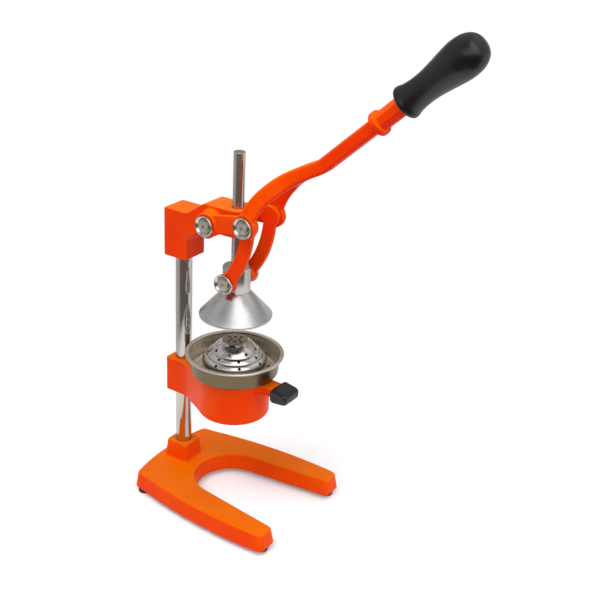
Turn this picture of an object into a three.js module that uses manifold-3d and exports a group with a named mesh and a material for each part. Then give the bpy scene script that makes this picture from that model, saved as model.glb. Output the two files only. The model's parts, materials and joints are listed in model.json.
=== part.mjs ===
// A lever citrus press. A forked hand lever, hinged on the head bracket, pulls two links that push
// a squeezing cone down its slide rod onto a strainer dome in a juice pan.
// Millimetres, +Z up. The side that faces the user, with the open mouth of the base, is +X.
// The pieces are placed about the foot of the column axis, and the whole press is then centred.
import * as THREE from "three";
import { mergeVertices } from "three/addons/utils/BufferGeometryUtils.js";
import Module from "manifold-3d";

const wasm = await Module();
wasm.setup();

// Gaps, how far a cut runs past the face that it opens, and how close two points count as one
const clearance = 0.3;
const overrun = 1;
const weld = 0.001;

// Sides of round pieces, and steps of a rounded corner
const roundSides = 24;
const smallSides = 10;
const holeSides = 6;
const octagonSides = 8;
const hexSides = 6;
const cornerSteps = 3;
const noseSteps = 5;
const edgeSteps = 1;
const leverSteps = 1;
const filletSteps = 6;

// Main places: the press axis in front of the column, the underside of the head and, from there,
// the top of the cup holder's ring and the three pivots of the linkage
const pressAxisX = 85.5;
const headBottomZ = 336.3;
const ringDrop = 144;
const fulcrumX = 60;
const fulcrumRise = 62.7;
const crankReach = 58;
const crankRise = 11.4;
const pressPivotDrop = 85.4;

// Feet
const footHeight = 5.9;
const footRadius = 9;
const footTaper = 1;
const footRecessRadius = 4;
const footRecessDepth = 3;
const footScrewRadius = 2;
const footScrewHeadRadius = 3.4;
const footScrewHeadHeight = 1.8;
const footScrewReach = 13;
const frontFootInset = { x: 11, y: 18.3 };
const rearFootInset = { x: 22, y: 27.8 };

// Base casting, sized along its underside
const baseHeight = 23;
const baseRearReach = 34;
const baseFrontX = 203;
const baseHalfWidth = 96.8;
const baseWidestX = 150;
const baseSideRadius = 700;
const baseRearRadius = 300;
const baseGapRadius = 48;
const baseGapMouthHalf = 62.7;
const baseCornerRadius = 8;
const baseLegTipRadius = 6;
const baseDraft = 5;
const baseEdgeRound = 2;
const baseWall = 4.5;
const baseRibThickness = 4;
const baseRibRecess = 5;
const baseLegRibX = [70, 131];
const baseFootBossRadius = 9.6;
const baseBoltBossRadius = 16;
const baseBoltBossDrop = 3;
const baseBoltPocketRadius = 12;
const baseSideSteps = 5;
const baseRearSteps = 3;
const baseGapSteps = 9;

// Pedestal that the column stands in
const pedestalHeight = 27.4;
const pedestalHalfWidth = 18.8;
const pedestalTaper = 2.1;
const pedestalCornerRadius = 4;
const socketFloorAboveBase = 4.8;

// Column: a tube with a threaded plug in its lower end
const columnRadius = 11;
const columnWall = 2;
const plugLength = 26;
const columnBoltRadius = 4;
const columnBoltThreadReach = 20;
const columnBoltHeadRadius = 7.5;
const columnBoltHeadHeight = 5;
const columnWasherRadius = 9;
const columnWasherThickness = 1.6;
const columnBoltHoleRadius = 4.5;

// Cup holder: a clamp block on the column and a ring that carries the pan
const holderBlockRise = 2;
const holderBlockHeight = 49.5;
const holderBlockHalf = 17.25;
const holderBlockRound = 3;
const holderFilletRadius = 22;
const holderEdgeRound = 1.5;
const ringRadius = 47.5;
const ringWall = 4;
const ringHeight = 57.3;
const ringEdgeRound = 3;
const lugHalfWidth = 12;
const lugHeight = 13.3;
const lugReach = 21;
const lugRound = 3;
const tangLength = 16;
const tangHalfWidth = 8;
const tangHeight = 7;
const holderGripLength = 25;
const holderGripHalfWidth = 13.5;
const holderGripDrop = 3.2;
const holderGripRise = 0.7;
const holderGripFall = 4.4;
const holderGripRound = 4.5;
const holderGripEdge = 3;
const setScrewRadius = 4;
const setScrewRecess = 1;
const setScrewSocketRadius = 2.3;
const setScrewSocketDepth = 2.5;
const holderScrewHeight = 25;

// Juice pan with its funnel
const panSheet = 1.2;
const panRimRadius = 65;
const panBeadRadius = 2.8;
const panBottomRadius = 58;
const panDepth = 28;
const panCornerRadius = 4;
const funnelStepDepth = 7;
const funnelConeDepth = 22;
const spoutRadius = 14;
const spoutLength = 8;

// Strainer dome, an even shell with three tiers, four scallops and rows of holes
const domeHeight = 43;
const domeShell = 0.8;
const domeFlangeRadius = 48;
const domeSkirtRadius = 43;
const domeScallops = 4;
const domeRibAngle = -22.5;
const domeRibPower = 3;
const domeSegments = 32;
const domeHoleRadius = 1.4;
const domeHolesPerRow = 8;
const domeHoleReach = 5;
const domeTopHoleRadius = 1.3;
const domeTopRow = { spread: 7.3, depth: 6.7 };
const domeMiddleRowSpread = 5.1;
const domeTopRowAngle = 32.3;
const domeNotchHalfWidth = 3.5;
const domeNotchHeight = 3;

// Head bracket: a block on the column, an arm, a cross boss at the fulcrum and the rod's guide
const headBlockHeight = 65.6;
const headHalfWidth = 18.8;
const headTopWall = 9.9;
const armHeight = 35.1;
const armBottomRise = 49.7;
const armRampFootRise = 30.7;
const armRampReach = 27.2;
const headRound = 2.5;
const headEdge = 1.8;
const armFilletRadius = 10;
const crossBossRadius = 16.5;
const crossBossHalfLength = 26.9;
const crossBossFlare = 3;
const bushOuterRadius = 10;
const bushGap = 0.25;
const bushRecess = 3;
const rodHoleGap = 0.8;
const headScrewHeights = [15.7, 48.7];

// Slide rod, neck and cone
const rodRadius = 7.4;
const rodProud = 70.8;
const rodChamfer = 1;
const neckRadius = 18;
const neckPivotHeight = 16;
const neckHeight = 33.5;
const neckFlatHalf = 15;
const neckFloor = 3;
const neckRound = 1.5;
const slotHalfLength = 8.8;
const slotHalfHeight = 5.5;
const slotCornerRadius = 3.5;
const slotDepth = 6.4;
const coneTopRadius = 18;
const coneRimRadius = 47.5;
const coneHeight = 32.7;
const coneLipHeight = 2.5;
const coneWall = 3;
const coneTopPlate = 5;
const coneScrewRadius = 3;
const coneScrewReach = 18;
const coneScrewHeadRadius = 5.5;
const coneScrewHeadHeight = 3;
const coneWasherRadius = 10;
const coneWasherThickness = 1.6;

// Pivot hardware: cup washers, socket-head bolts and bushes
const cupRadius = 12.8;
const cupThickness = 4.2;
const cupFloor = 1;
const cupBoreRadius = 8.4;
const cupRound = 1.2;
const cupSides = 12;
const headRadius = 7;
const hexSocketRadius = 2.9;
const hexSocketDepth = 2;
const pivotBoltRadius = 4;
const pressBoltRadius = 3;
const pivotBushRadius = 7.7;
const pressBushRadius = 5;
const fulcrumBoltReach = 14;
const crankBoltReach = 5.5;
const pressBoltReach = 5.8;

// Lever: two tines with bosses, joined into an arm that ends in a collar and a tang
const tineInner = 27.2;
const tineThickness = 7;
const tineBossRadius = 16.5;
const pivotBarRecess = 2.2;
const pivotBarTop = 14;
const pivotBarBottom = 14;
const pivotBarWaist = 9;
const pivotBarWaistRadius = 60;
const tineHalfWidth = 11;
const bendReach = 87;
const bendRise = 88.2;
const leverAngle = 43;
const armHalfWidth = 8.6;
const armHalfThickness = 9;
const leverRound = 3.5;
const collarAt = 94.3;
const collarRadius = 15;
const collarLength = 8;
const octagonAcrossFlats = 22;
const leverTangAcrossFlats = 15;
const leverTangLength = 60;
const stopWebInner = 51;
const stopWebOuter = 59;
const stopWebHalfWidth = 29;
const stopWebStartAngle = 25;
const stopWebEndAngle = 39;
const stopWebSteps = 4;

// Lever grip, along the arm from its flange
const gripAt = 132;
const gripLength = 135;
const gripFlangeRadius = 19;

// Links
const linkInner = 20.3;
const linkBarOuter = 26.4;
const linkEyeOuter = 26.8;
const upperEyeRadius = 13.6;
const lowerEyeRadius = 13.2;
const lowerEyeInner = 15.3;
const linkBarWidth = 17.5;
const linkBow = 8.5;
const linkRound = 2;
const linkSteps = 7;

// Looks: colour, roughness and metalness of each finish
const finishes = {
  enamel: { color: 0xf05a10, roughness: 0.3, metalness: 0.0 },
  chrome: { color: 0xc9c9c6, roughness: 0.15, metalness: 1.0 },
  stainless: { color: 0xb9b5ac, roughness: 0.28, metalness: 1.0 },
  steel: { color: 0x8d8b86, roughness: 0.4, metalness: 1.0 },
  bronze: { color: 0xa9803f, roughness: 0.4, metalness: 1.0 },
  rubber: { color: 0x151515, roughness: 0.7, metalness: 0.0 },
  plastic: { color: 0x1b1b1d, roughness: 0.45, metalness: 0.0 },
};

// Values that follow from the sizes above
const fulcrum = { x: fulcrumX, z: headBottomZ + fulcrumRise };
const crank = { x: fulcrum.x + crankReach, z: fulcrum.z + crankRise };
const pressPivot = { x: pressAxisX, z: crank.z - pressPivotDrop };
const kink = { x: crank.x + bendReach, z: crank.z + bendRise };
const frontFoot = { x: baseFrontX - frontFootInset.x, y: baseHalfWidth - frontFootInset.y };
const rearFoot = { x: rearFootInset.x - baseRearReach, y: baseHalfWidth - rearFootInset.y };
const undersideZ = footHeight + clearance;
const baseTopZ = undersideZ + baseHeight;
const baseRoofZ = baseTopZ - baseWall;
const pedestalTopZ = baseTopZ + pedestalHeight;
const socketFloorZ = baseTopZ + socketFloorAboveBase;
const columnBottomZ = socketFloorZ + clearance;
const columnTopZ = headBottomZ + headBlockHeight - headTopWall - clearance;
const columnBoreRadius = columnRadius + clearance;
const boltSeatZ = baseRoofZ - baseBoltBossDrop - clearance;
const ringInner = ringRadius - ringWall;
const ringTopZ = headBottomZ - ringDrop;
const ringBottomZ = ringTopZ - ringHeight;
const holderBottomZ = ringBottomZ + holderBlockRise;
const holderTopZ = holderBottomZ + holderBlockHeight;
const lugEndX = pressAxisX + ringRadius + lugReach;
const panUndersideZ = ringTopZ + clearance;
const panFloorZ = panUndersideZ + panSheet;
const domeBottomZ = panFloorZ + clearance;
const domeTopZ = domeBottomZ + domeHeight;
const armBottomZ = headBottomZ + armBottomRise;
const armTopZ = armBottomZ + armHeight;
const rodTopZ = armTopZ + rodProud;
const neckBottomZ = pressPivot.z - neckPivotHeight;
const neckTopZ = neckBottomZ + neckHeight;
const rodBottomZ = neckBottomZ + neckFloor + clearance;
const coneTopZ = neckBottomZ - clearance;
const coneCeilingZ = coneTopZ - coneTopPlate;
const coneRimZ = coneTopZ - coneHeight;
const tineOuter = tineInner + tineThickness;
const sides = { left: 1, right: -1 };

const radians = THREE.MathUtils.degToRad;
const upward = new THREE.Vector3(0, 0, 1);

// Solids: joining and cutting closed geometries
function signedVolume(positions, triangles) {
  const [a, b, c] = [new THREE.Vector3(), new THREE.Vector3(), new THREE.Vector3()];
  let volume = 0;
  for (let i = 0; i < triangles.length; i += 3) {
    a.fromArray(positions, 3 * triangles[i]);
    b.fromArray(positions, 3 * triangles[i + 1]);
    c.fromArray(positions, 3 * triangles[i + 2]);
    volume += a.dot(b.cross(c));
  }
  return volume;
}

// Welds a geometry, drops its empty triangles, turns its faces out and makes it a solid.
function asSolid(shape) {
  if (!shape.isBufferGeometry) return shape;
  shape.deleteAttribute("normal");
  shape.deleteAttribute("uv");
  const welded = mergeVertices(shape);
  const corners = welded.index.array;
  const positions = Float32Array.from(welded.attributes.position.array);
  const triangles = [];
  for (let i = 0; i < corners.length; i += 3) {
    const [a, b, c] = corners.slice(i, i + 3);
    if (a !== b && b !== c && c !== a) triangles.push(a, b, c);
  }
  if (signedVolume(positions, triangles) < 0) triangles.reverse();
  const triVerts = Uint32Array.from(triangles);
  return new wasm.Manifold(new wasm.Mesh({ numProp: 3, vertProperties: positions, triVerts }));
}

function join(...shapes) {
  return shapes.map(asSolid).reduce((whole, piece) => whole.add(piece));
}

function cut(body, ...tools) {
  return tools.reduce((rest, tool) => rest.subtract(asSolid(tool)), asSolid(body));
}

function common(first, second) {
  return asSolid(first).intersect(asSolid(second));
}

function asGeometry(body) {
  const { vertProperties, triVerts } = asSolid(body).getMesh();
  const geometry = new THREE.BufferGeometry();
  geometry.setAttribute("position", new THREE.BufferAttribute(vertProperties, 3));
  geometry.setIndex(new THREE.BufferAttribute(triVerts, 1));
  geometry.computeVertexNormals();
  return geometry;
}

// Outlines: rounds each corner [x, y, radius] with an arc that its two sides have room for.
function rounded(corners, steps = cornerSteps) {
  const outline = [];
  corners.forEach(([x, y, radius = 0], i) => {
    const corner = new THREE.Vector2(x, y);
    if (radius === 0) {
      outline.push(corner);
      return;
    }
    const [beforeX, beforeY] = corners.at(i - 1);
    const [afterX, afterY] = corners[(i + 1) % corners.length];
    const back = new THREE.Vector2(beforeX, beforeY).sub(corner);
    const ahead = new THREE.Vector2(afterX, afterY).sub(corner);
    const room = Math.min(back.length(), ahead.length()) / 2;
    back.normalize();
    ahead.normalize();
    const halfAngle = Math.acos(THREE.MathUtils.clamp(back.dot(ahead), -1, 1)) / 2;
    const reach = Math.min(radius / Math.tan(halfAngle), room);
    const centre = back.clone().add(ahead).setLength(reach / Math.cos(halfAngle)).add(corner);
    const start = back.multiplyScalar(reach).add(corner).sub(centre);
    const end = ahead.multiplyScalar(reach).add(corner).sub(centre);
    const turn = Math.atan2(start.cross(end), start.dot(end));
    for (let step = 0; step <= steps; step += 1) {
      const spoke = start.clone().rotateAround(new THREE.Vector2(), (turn * step) / steps);
      outline.push(spoke.add(centre));
    }
  });
  return outline;
}

function roundedBox(left, right, bottom, top, radius, steps = cornerSteps) {
  const corners = [[left, bottom], [right, bottom], [right, top], [left, top]];
  return rounded(corners.map((corner) => [...corner, radius]), steps);
}

// Basic shapes
function plate(outline, from, to, edge = 0) {
  const distinct = outline.filter((point, i) => point.distanceTo(outline.at(i - 1)) > weld);
  const geometry = new THREE.ExtrudeGeometry(new THREE.Shape(distinct), {
    depth: to - from - 2 * edge,
    bevelEnabled: edge > 0,
    bevelThickness: edge,
    bevelSize: edge,
    bevelOffset: -edge,
    bevelSegments: edgeSteps,
  });
  return geometry.translate(0, 0, from + edge);
}

// A plate whose outline lies in X and Z, from one Y to another.
function sidePlate(outline, from, to, edge = 0) {
  return plate(outline, -to, -from, edge).rotateX(Math.PI / 2);
}

// A plate whose outline lies in Y and Z, from one X to another.
function frontPlate(outline, from, to, edge = 0) {
  return plate(outline, from, to, edge).rotateX(Math.PI / 2).rotateZ(Math.PI / 2);
}

function box(fromX, toX, fromY, toY, fromZ, toZ) {
  const geometry = new THREE.BoxGeometry(toX - fromX, toY - fromY, toZ - fromZ);
  return geometry.translate((fromX + toX) / 2, (fromY + toY) / 2, (fromZ + toZ) / 2);
}

// A cylinder or cone along one axis; centre gives its place on the other two.
function cylinder(axis, radius, from, to, centre = {}, facets = roundSides, endRadius = radius) {
  const geometry = new THREE.CylinderGeometry(endRadius, radius, to - from, facets);
  if (axis === "z") geometry.rotateX(Math.PI / 2);
  if (axis === "x") geometry.rotateZ(-Math.PI / 2);
  const middle = { x: 0, y: 0, z: 0, ...centre, [axis]: (from + to) / 2 };
  return geometry.translate(middle.x, middle.y, middle.z);
}

// A body of revolution about Z from a profile of [radius, height]; an open profile closes on itself.
function turned(profile, facets = roundSides) {
  const points = profile.map(([radius, height]) => new THREE.Vector2(radius, height));
  if (points[0].x > 0) points.push(points[0].clone());
  return new THREE.LatheGeometry(points, facets).rotateX(Math.PI / 2);
}

function ring(outer, inner, bottom, top, facets = smallSides) {
  return turned([[inner, bottom], [outer, bottom], [outer, top], [inner, top]], facets);
}

// A skin over a row of closed rings with as many points each, capped at both ends.
function loft(rings, capOutline) {
  const count = rings[0].length;
  const last = (rings.length - 1) * count;
  const index = [];
  for (let ring = 0; ring < rings.length - 1; ring += 1) {
    for (let i = 0; i < count; i += 1) {
      const [a, b] = [ring * count + i, ring * count + ((i + 1) % count)];
      index.push(a, b, b + count, a, b + count, a + count);
    }
  }
  for (const [a, b, c] of THREE.ShapeUtils.triangulateShape(capOutline, [])) {
    index.push(c, b, a, a + last, b + last, c + last);
  }
  const geometry = new THREE.BufferGeometry().setFromPoints(rings.flat());
  return geometry.setIndex(index);
}

function levelRing(outline, height) {
  return outline.map((point) => new THREE.Vector3(point.x, point.y, height));
}

// From the inner to the outer face on one side of the middle plane, in rising order.
function across(side, inner, outer) {
  return side > 0 ? [inner, outer] : [-outer, -inner];
}

// Base casting
function baseSideY(x, inset) {
  return baseHalfWidth - inset - baseSideRadius + Math.sqrt(baseSideRadius ** 2 - (x - baseWidestX) ** 2);
}

function baseRearX(y, inset) {
  return inset - baseRearReach + baseRearRadius - Math.sqrt(baseRearRadius ** 2 - y ** 2);
}

// Plan of the base, moved in by an inset: the rear bow, a side, a leg tip and the round gap, then mirrored.
function basePlan(inset) {
  const cornerY = baseSideY(baseRearX(baseHalfWidth, inset), inset);
  const cornerX = baseRearX(cornerY, inset);
  const tipX = baseFrontX - inset;
  const mouthY = baseGapMouthHalf + inset;
  const gapRadius = baseGapRadius + inset;
  const mouth = new THREE.Vector2(tipX - pressAxisX, mouthY);
  const tangentAngle = mouth.angle() + Math.acos(gapRadius / mouth.length());
  const half = [];
  for (let step = 1; step < baseRearSteps; step += 1) {
    const y = (cornerY * step) / baseRearSteps;
    half.push([baseRearX(y, inset), y]);
  }
  half.push([cornerX, cornerY, baseCornerRadius]);
  for (let step = 1; step < baseSideSteps; step += 1) {
    const x = THREE.MathUtils.lerp(cornerX, tipX, step / baseSideSteps);
    half.push([x, baseSideY(x, inset)]);
  }
  half.push([tipX, baseSideY(tipX, inset), baseCornerRadius], [tipX, mouthY, baseLegTipRadius]);
  for (let step = 0; step < baseGapSteps; step += 1) {
    const angle = THREE.MathUtils.lerp(tangentAngle, Math.PI, step / baseGapSteps);
    half.push([pressAxisX + gapRadius * Math.cos(angle), gapRadius * Math.sin(angle)]);
  }
  const mirrored = half.map(([x, y, radius]) => [x, -y, radius]).reverse();
  const rear = [baseRearX(0, inset), 0];
  const gapBack = [pressAxisX - gapRadius, 0];
  return rounded([rear, ...half, gapBack, ...mirrored]).reverse();
}

function baseShell() {
  const chamfer = baseEdgeRound * (1 - Math.SQRT1_2);
  const levels = [
    [0, undersideZ],
    [baseDraft - baseEdgeRound, baseTopZ - baseEdgeRound],
    [baseDraft - baseEdgeRound + chamfer, baseTopZ - chamfer],
    [baseDraft, baseTopZ],
  ];
  const outer = loft(levels.map(([inset, z]) => levelRing(basePlan(inset), z)), basePlan(0));
  const hollow = loft(
    [
      levelRing(basePlan(baseWall), undersideZ - overrun),
      levelRing(basePlan(baseWall), undersideZ),
      levelRing(basePlan(baseDraft + baseWall), baseRoofZ),
    ],
    basePlan(baseWall),
  );
  return { outer, hollow };
}

function footPlaces() {
  return [frontFoot, rearFoot].flatMap(({ x, y }) => [{ x, y: -y }, { x, y }]);
}

function baseRibs() {
  const ribFloor = undersideZ + baseRibRecess;
  const half = baseRibThickness / 2;
  const wide = baseHalfWidth + overrun;
  const ribs = baseLegRibX.map((x) => box(x - half, x + half, -wide, wide, ribFloor, baseTopZ));
  ribs.push(box(-half, half, -wide, wide, ribFloor, baseTopZ));
  ribs.push(box(-baseRearReach, pressAxisX - baseGapRadius, -half, half, ribFloor, baseTopZ));
  const bosses = footPlaces().map((place) =>
    cylinder("z", baseFootBossRadius, undersideZ, baseTopZ, place, smallSides));
  const boltBoss = cylinder("z", baseBoltBossRadius, baseRoofZ - baseBoltBossDrop, baseTopZ, {}, smallSides);
  return [...ribs, ...bosses, boltBoss];
}

function pedestal() {
  const square = (half) => roundedBox(-half, half, -half, half, pedestalCornerRadius);
  const topHalf = pedestalHalfWidth - pedestalTaper;
  const rings = [
    levelRing(square(pedestalHalfWidth), baseTopZ - overrun),
    levelRing(square(topHalf), pedestalTopZ - baseEdgeRound),
    levelRing(square(topHalf - baseEdgeRound), pedestalTopZ),
  ];
  return loft(rings, square(pedestalHalfWidth));
}

function baseCasting() {
  const { outer, hollow } = baseShell();
  const body = join(cut(outer, cut(hollow, ...baseRibs())), pedestal());
  const socket = cylinder("z", columnBoreRadius, socketFloorZ, pedestalTopZ + overrun);
  const boltHole = cylinder("z", columnBoltHoleRadius, undersideZ, pedestalTopZ, {}, smallSides);
  const pocketRoofZ = baseRoofZ - baseBoltBossDrop;
  const pocket = cylinder("z", baseBoltPocketRadius, undersideZ, pocketRoofZ, {}, smallSides);
  const holeTop = undersideZ + footScrewReach;
  const footHoles = footPlaces().map((place) =>
    cylinder("z", footScrewRadius + clearance, undersideZ - overrun, holeTop, place, holeSides));
  return cut(body, socket, boltHole, pocket, ...footHoles);
}

function foot() {
  const screwBore = footScrewRadius + clearance;
  return turned([
    [footRecessRadius, 0],
    [footRadius - footTaper, 0],
    [footRadius, footHeight],
    [screwBore, footHeight],
    [screwBore, footRecessDepth],
    [footRecessRadius, footRecessDepth],
  ], smallSides);
}

function footScrew() {
  const seat = footRecessDepth - clearance;
  const tip = undersideZ + footScrewReach - clearance;
  return turned([
    [0, seat - footScrewHeadHeight],
    [footScrewHeadRadius, seat - footScrewHeadHeight],
    [footScrewHeadRadius, seat],
    [footScrewRadius, seat],
    [footScrewRadius, tip],
    [0, tip],
  ], holeSides);
}

// Column
function columnTube() {
  const bore = columnRadius - columnWall;
  return turned([
    [bore, columnBottomZ],
    [columnRadius, columnBottomZ],
    [columnRadius, columnTopZ],
    [bore, columnTopZ],
  ]);
}

function columnPlug() {
  const radius = columnRadius - columnWall - clearance;
  const body = cylinder("z", radius, columnBottomZ, columnBottomZ + plugLength);
  const thread = cylinder("z", columnBoltRadius + clearance, columnBottomZ - overrun,
    columnBottomZ + columnBoltThreadReach + clearance, {}, smallSides);
  return cut(body, thread);
}

function columnBolt() {
  const seat = boltSeatZ - columnWasherThickness - clearance;
  const head = cylinder("z", columnBoltHeadRadius, seat - columnBoltHeadHeight, seat, {}, hexSides);
  const tip = columnBottomZ + columnBoltThreadReach;
  const shank = cylinder("z", columnBoltRadius, seat - overrun, tip, {}, smallSides);
  return join(head, shank);
}

function columnWasher() {
  return ring(columnWasherRadius, columnBoltHoleRadius, boltSeatZ - columnWasherThickness, boltSeatZ);
}

// Cup holder
// Plan of the block and the web that flares to the ring with a hollow fillet on each side.
function holderPlan() {
  const filletY = holderBlockHalf + holderFilletRadius;
  const reach = ringRadius + holderFilletRadius;
  const filletX = pressAxisX - Math.sqrt(reach ** 2 - filletY ** 2);
  const touchAngle = -Math.asin(filletY / reach);
  const half = Array.from({ length: filletSteps + 1 }, (_, step) => {
    const angle = THREE.MathUtils.lerp(-Math.PI / 2, touchAngle, step / filletSteps);
    return [filletX + holderFilletRadius * Math.cos(angle), filletY + holderFilletRadius * Math.sin(angle)];
  });
  return rounded([
    [-holderBlockHalf, -holderBlockHalf, holderBlockRound],
    ...half.map(([x, y]) => [x, -y]),
    ...half.reverse(),
    [-holderBlockHalf, holderBlockHalf, holderBlockRound],
  ]);
}

function holderRing() {
  const innerShare = 1 - Math.SQRT1_2;
  const profile = turned([
    [0, ringBottomZ],
    [ringRadius - ringEdgeRound, ringBottomZ],
    [ringRadius - ringEdgeRound * innerShare, ringBottomZ + ringEdgeRound * innerShare],
    [ringRadius, ringBottomZ + ringEdgeRound],
    [ringRadius, ringTopZ - holderEdgeRound],
    [ringRadius - holderEdgeRound, ringTopZ],
    [0, ringTopZ],
  ], roundSides);
  return profile.translate(pressAxisX, 0, 0);
}

function holderLug() {
  const lugTopZ = ringTopZ - clearance;
  const outline = roundedBox(-lugHalfWidth, lugHalfWidth, ringTopZ - lugHeight, lugTopZ, lugRound);
  const lug = frontPlate(outline, pressAxisX, lugEndX - clearance);
  const tangMiddle = ringTopZ - lugHeight / 2;
  const tang = box(lugEndX - overrun, lugEndX + tangLength, -tangHalfWidth, tangHalfWidth,
    tangMiddle - tangHeight / 2, tangMiddle + tangHeight / 2);
  return [lug, tang];
}

function cupHolder() {
  const block = plate(holderPlan(), holderBottomZ, holderTopZ, holderEdgeRound);
  const body = join(block, holderRing(), ...holderLug());
  const ringBore = cylinder("z", ringInner, ringBottomZ - overrun, ringTopZ + overrun, { x: pressAxisX });
  const columnBore = cylinder("z", columnBoreRadius, holderBottomZ - overrun, holderTopZ + overrun);
  const thread = setScrewBore(-holderBlockHalf, holderBottomZ + holderScrewHeight);
  return cut(body, ringBore, columnBore, thread);
}

function setScrewBore(rearX, z) {
  return cylinder("x", setScrewRadius + clearance, rearX - overrun, 0, { z }, smallSides);
}

function setScrew(rearX, z) {
  const from = rearX + setScrewRecess;
  const body = cylinder("x", setScrewRadius, from, -columnBoreRadius, { z }, smallSides);
  const socketEnd = from + setScrewSocketDepth;
  const socket = cylinder("x", setScrewSocketRadius, from - overrun, socketEnd, { z }, hexSides);
  return cut(body, socket);
}

function holderGrip() {
  const bottom = ringTopZ - lugHeight - holderGripDrop;
  const top = ringTopZ + holderGripRise;
  const frontX = lugEndX + holderGripLength;
  const outline = rounded([
    [lugEndX, bottom, holderGripRound],
    [frontX, bottom + holderGripFall / 2, holderGripRound],
    [frontX, top - holderGripFall, holderGripRound],
    [lugEndX, top, holderGripRound],
  ]);
  const body = sidePlate(outline, -holderGripHalfWidth, holderGripHalfWidth, holderGripEdge);
  const tangMiddle = ringTopZ - lugHeight / 2;
  const halfHeight = tangHeight / 2 + clearance;
  const halfWidth = tangHalfWidth + clearance;
  const socketEnd = lugEndX + tangLength + clearance;
  return cut(body, box(lugEndX - overrun, socketEnd, -halfWidth, halfWidth,
    tangMiddle - halfHeight, tangMiddle + halfHeight));
}

// Juice pan: rolled rim, wall, floor, a step that locates it in the ring, and a funnel with a spout.
function juicePan() {
  const stepRadius = ringInner - clearance;
  const wallTopRadius = panRimRadius - 2 * panBeadRadius;
  const beadZ = panUndersideZ + panDepth - panBeadRadius;
  const beadRadius = panRimRadius - panBeadRadius;
  const funnelTop = panUndersideZ - funnelStepDepth;
  const funnelEnd = funnelTop - funnelConeDepth;
  const spoutEnd = funnelEnd - spoutLength;
  const bead = [];
  const beadSteps = 2 * cornerSteps;
  for (let step = 0; step <= beadSteps; step += 1) {
    const angle = THREE.MathUtils.lerp(-Math.PI / 2, Math.PI, step / beadSteps);
    bead.push([beadRadius + panBeadRadius * Math.cos(angle), beadZ + panBeadRadius * Math.sin(angle)]);
  }
  const outside = [
    [spoutRadius, spoutEnd],
    [spoutRadius, funnelEnd],
    [stepRadius, funnelTop],
    [stepRadius, panUndersideZ],
    [panBottomRadius - panCornerRadius, panUndersideZ],
    [panBottomRadius, panUndersideZ + panCornerRadius],
    [wallTopRadius + panSheet / 2, beadZ - panBeadRadius],
  ];
  const inside = [
    [wallTopRadius - panSheet / 2, beadZ - panBeadRadius],
    [panBottomRadius - panSheet, panFloorZ + panCornerRadius - panSheet / 2],
    [panBottomRadius - panCornerRadius, panFloorZ],
    [stepRadius - panSheet, panFloorZ],
    [stepRadius - panSheet, funnelTop + panSheet / 2],
    [spoutRadius - panSheet, funnelEnd + panSheet / 2],
    [spoutRadius - panSheet, spoutEnd],
  ];
  return turned([...outside, ...bead, ...inside]);
}

// Strainer dome. Each row is [radius on a rib, radius in a scallop, height] as shares of the dome's
// skirt radius and height, from the disc down to the skirt.
const domeOuterShares = [
  [0.372, 0.372, 1],
  [0.372, 0.372, 0.977],
  [0.44, 0.33, 0.96],
  [0.53, 0.36, 0.9],
  [0.6, 0.46, 0.85],
  [0.66, 0.63, 0.81],
  [0.786, 0.786, 0.726],
  [0.774, 0.774, 0.71],
  [0.81, 0.81, 0.695],
  [0.932, 0.932, 0.563],
  [0.92, 0.92, 0.547],
  [0.943, 0.943, 0.53],
  [0.963, 0.963, 0.386],
  [1, 1, 0.06],
];
// The inside starts at a ceiling under the disc and then follows the outer rows below the lip.
const domeCeilingShares = [0.34, 0.31, 1];
const domeInnerRows = [3, 6, 9, 13];
// Rows of holes: place as shares of the skirt radius and height, tilt in degrees, turn in pitches.
const domeHoleRowShares = [
  { radius: 0.69, height: 0.79, tilt: 45, turn: 0 },
  { radius: 0.83, height: 0.682, tilt: 40, turn: 0.5 },
  { radius: 0.945, height: 0.505, tilt: 8, turn: 0.5 },
];

function domeRing([ribShare, scallopShare, heightShare], shrink = 0) {
  return domeAngles().map((angle) => {
    const wave = Math.cos((domeScallops / 2) * (angle - radians(domeRibAngle)));
    const rib = Math.abs(wave) ** domeRibPower;
    const radius = domeSkirtRadius * THREE.MathUtils.lerp(scallopShare, ribShare, rib) - shrink;
    const height = domeBottomZ + domeHeight * heightShare - shrink;
    return new THREE.Vector3(radius * Math.cos(angle), radius * Math.sin(angle), height);
  });
}

function domeAngles() {
  return Array.from({ length: domeSegments }, (_, step) => (2 * Math.PI * step) / domeSegments);
}

function roundRing(radius, height) {
  return domeAngles().map((angle) => new THREE.Vector3(radius, 0, height).applyAxisAngle(upward, angle));
}

function domeSideHoles() {
  const pitch = (2 * Math.PI) / domeHolesPerRow;
  return domeHoleRowShares.flatMap(({ radius, height, tilt, turn }) =>
    Array.from({ length: domeHolesPerRow }, (_, hole) => {
      const punch = cylinder("x", domeHoleRadius, -domeHoleReach, domeHoleReach, {}, holeSides);
      punch.rotateY(-radians(tilt));
      punch.translate(domeSkirtRadius * radius, 0, domeBottomZ + domeHeight * height);
      return punch.rotateZ(radians(domeRibAngle) + pitch * (hole + turn));
    }));
}

function domeTopHoles() {
  const { spread, depth } = domeTopRow;
  const outerRows = [-depth, depth].flatMap((y) => [-spread, 0, spread].map((x) => ({ x, y })));
  const middleRow = [-domeMiddleRowSpread, domeMiddleRowSpread].map((x) => ({ x, y: 0 }));
  const bottom = domeTopZ - domeHoleReach;
  return [...outerRows, ...middleRow].map((place) => {
    const punch = cylinder("z", domeTopHoleRadius, bottom, domeTopZ + overrun, place, holeSides);
    return punch.rotateZ(radians(domeTopRowAngle));
  });
}

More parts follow.
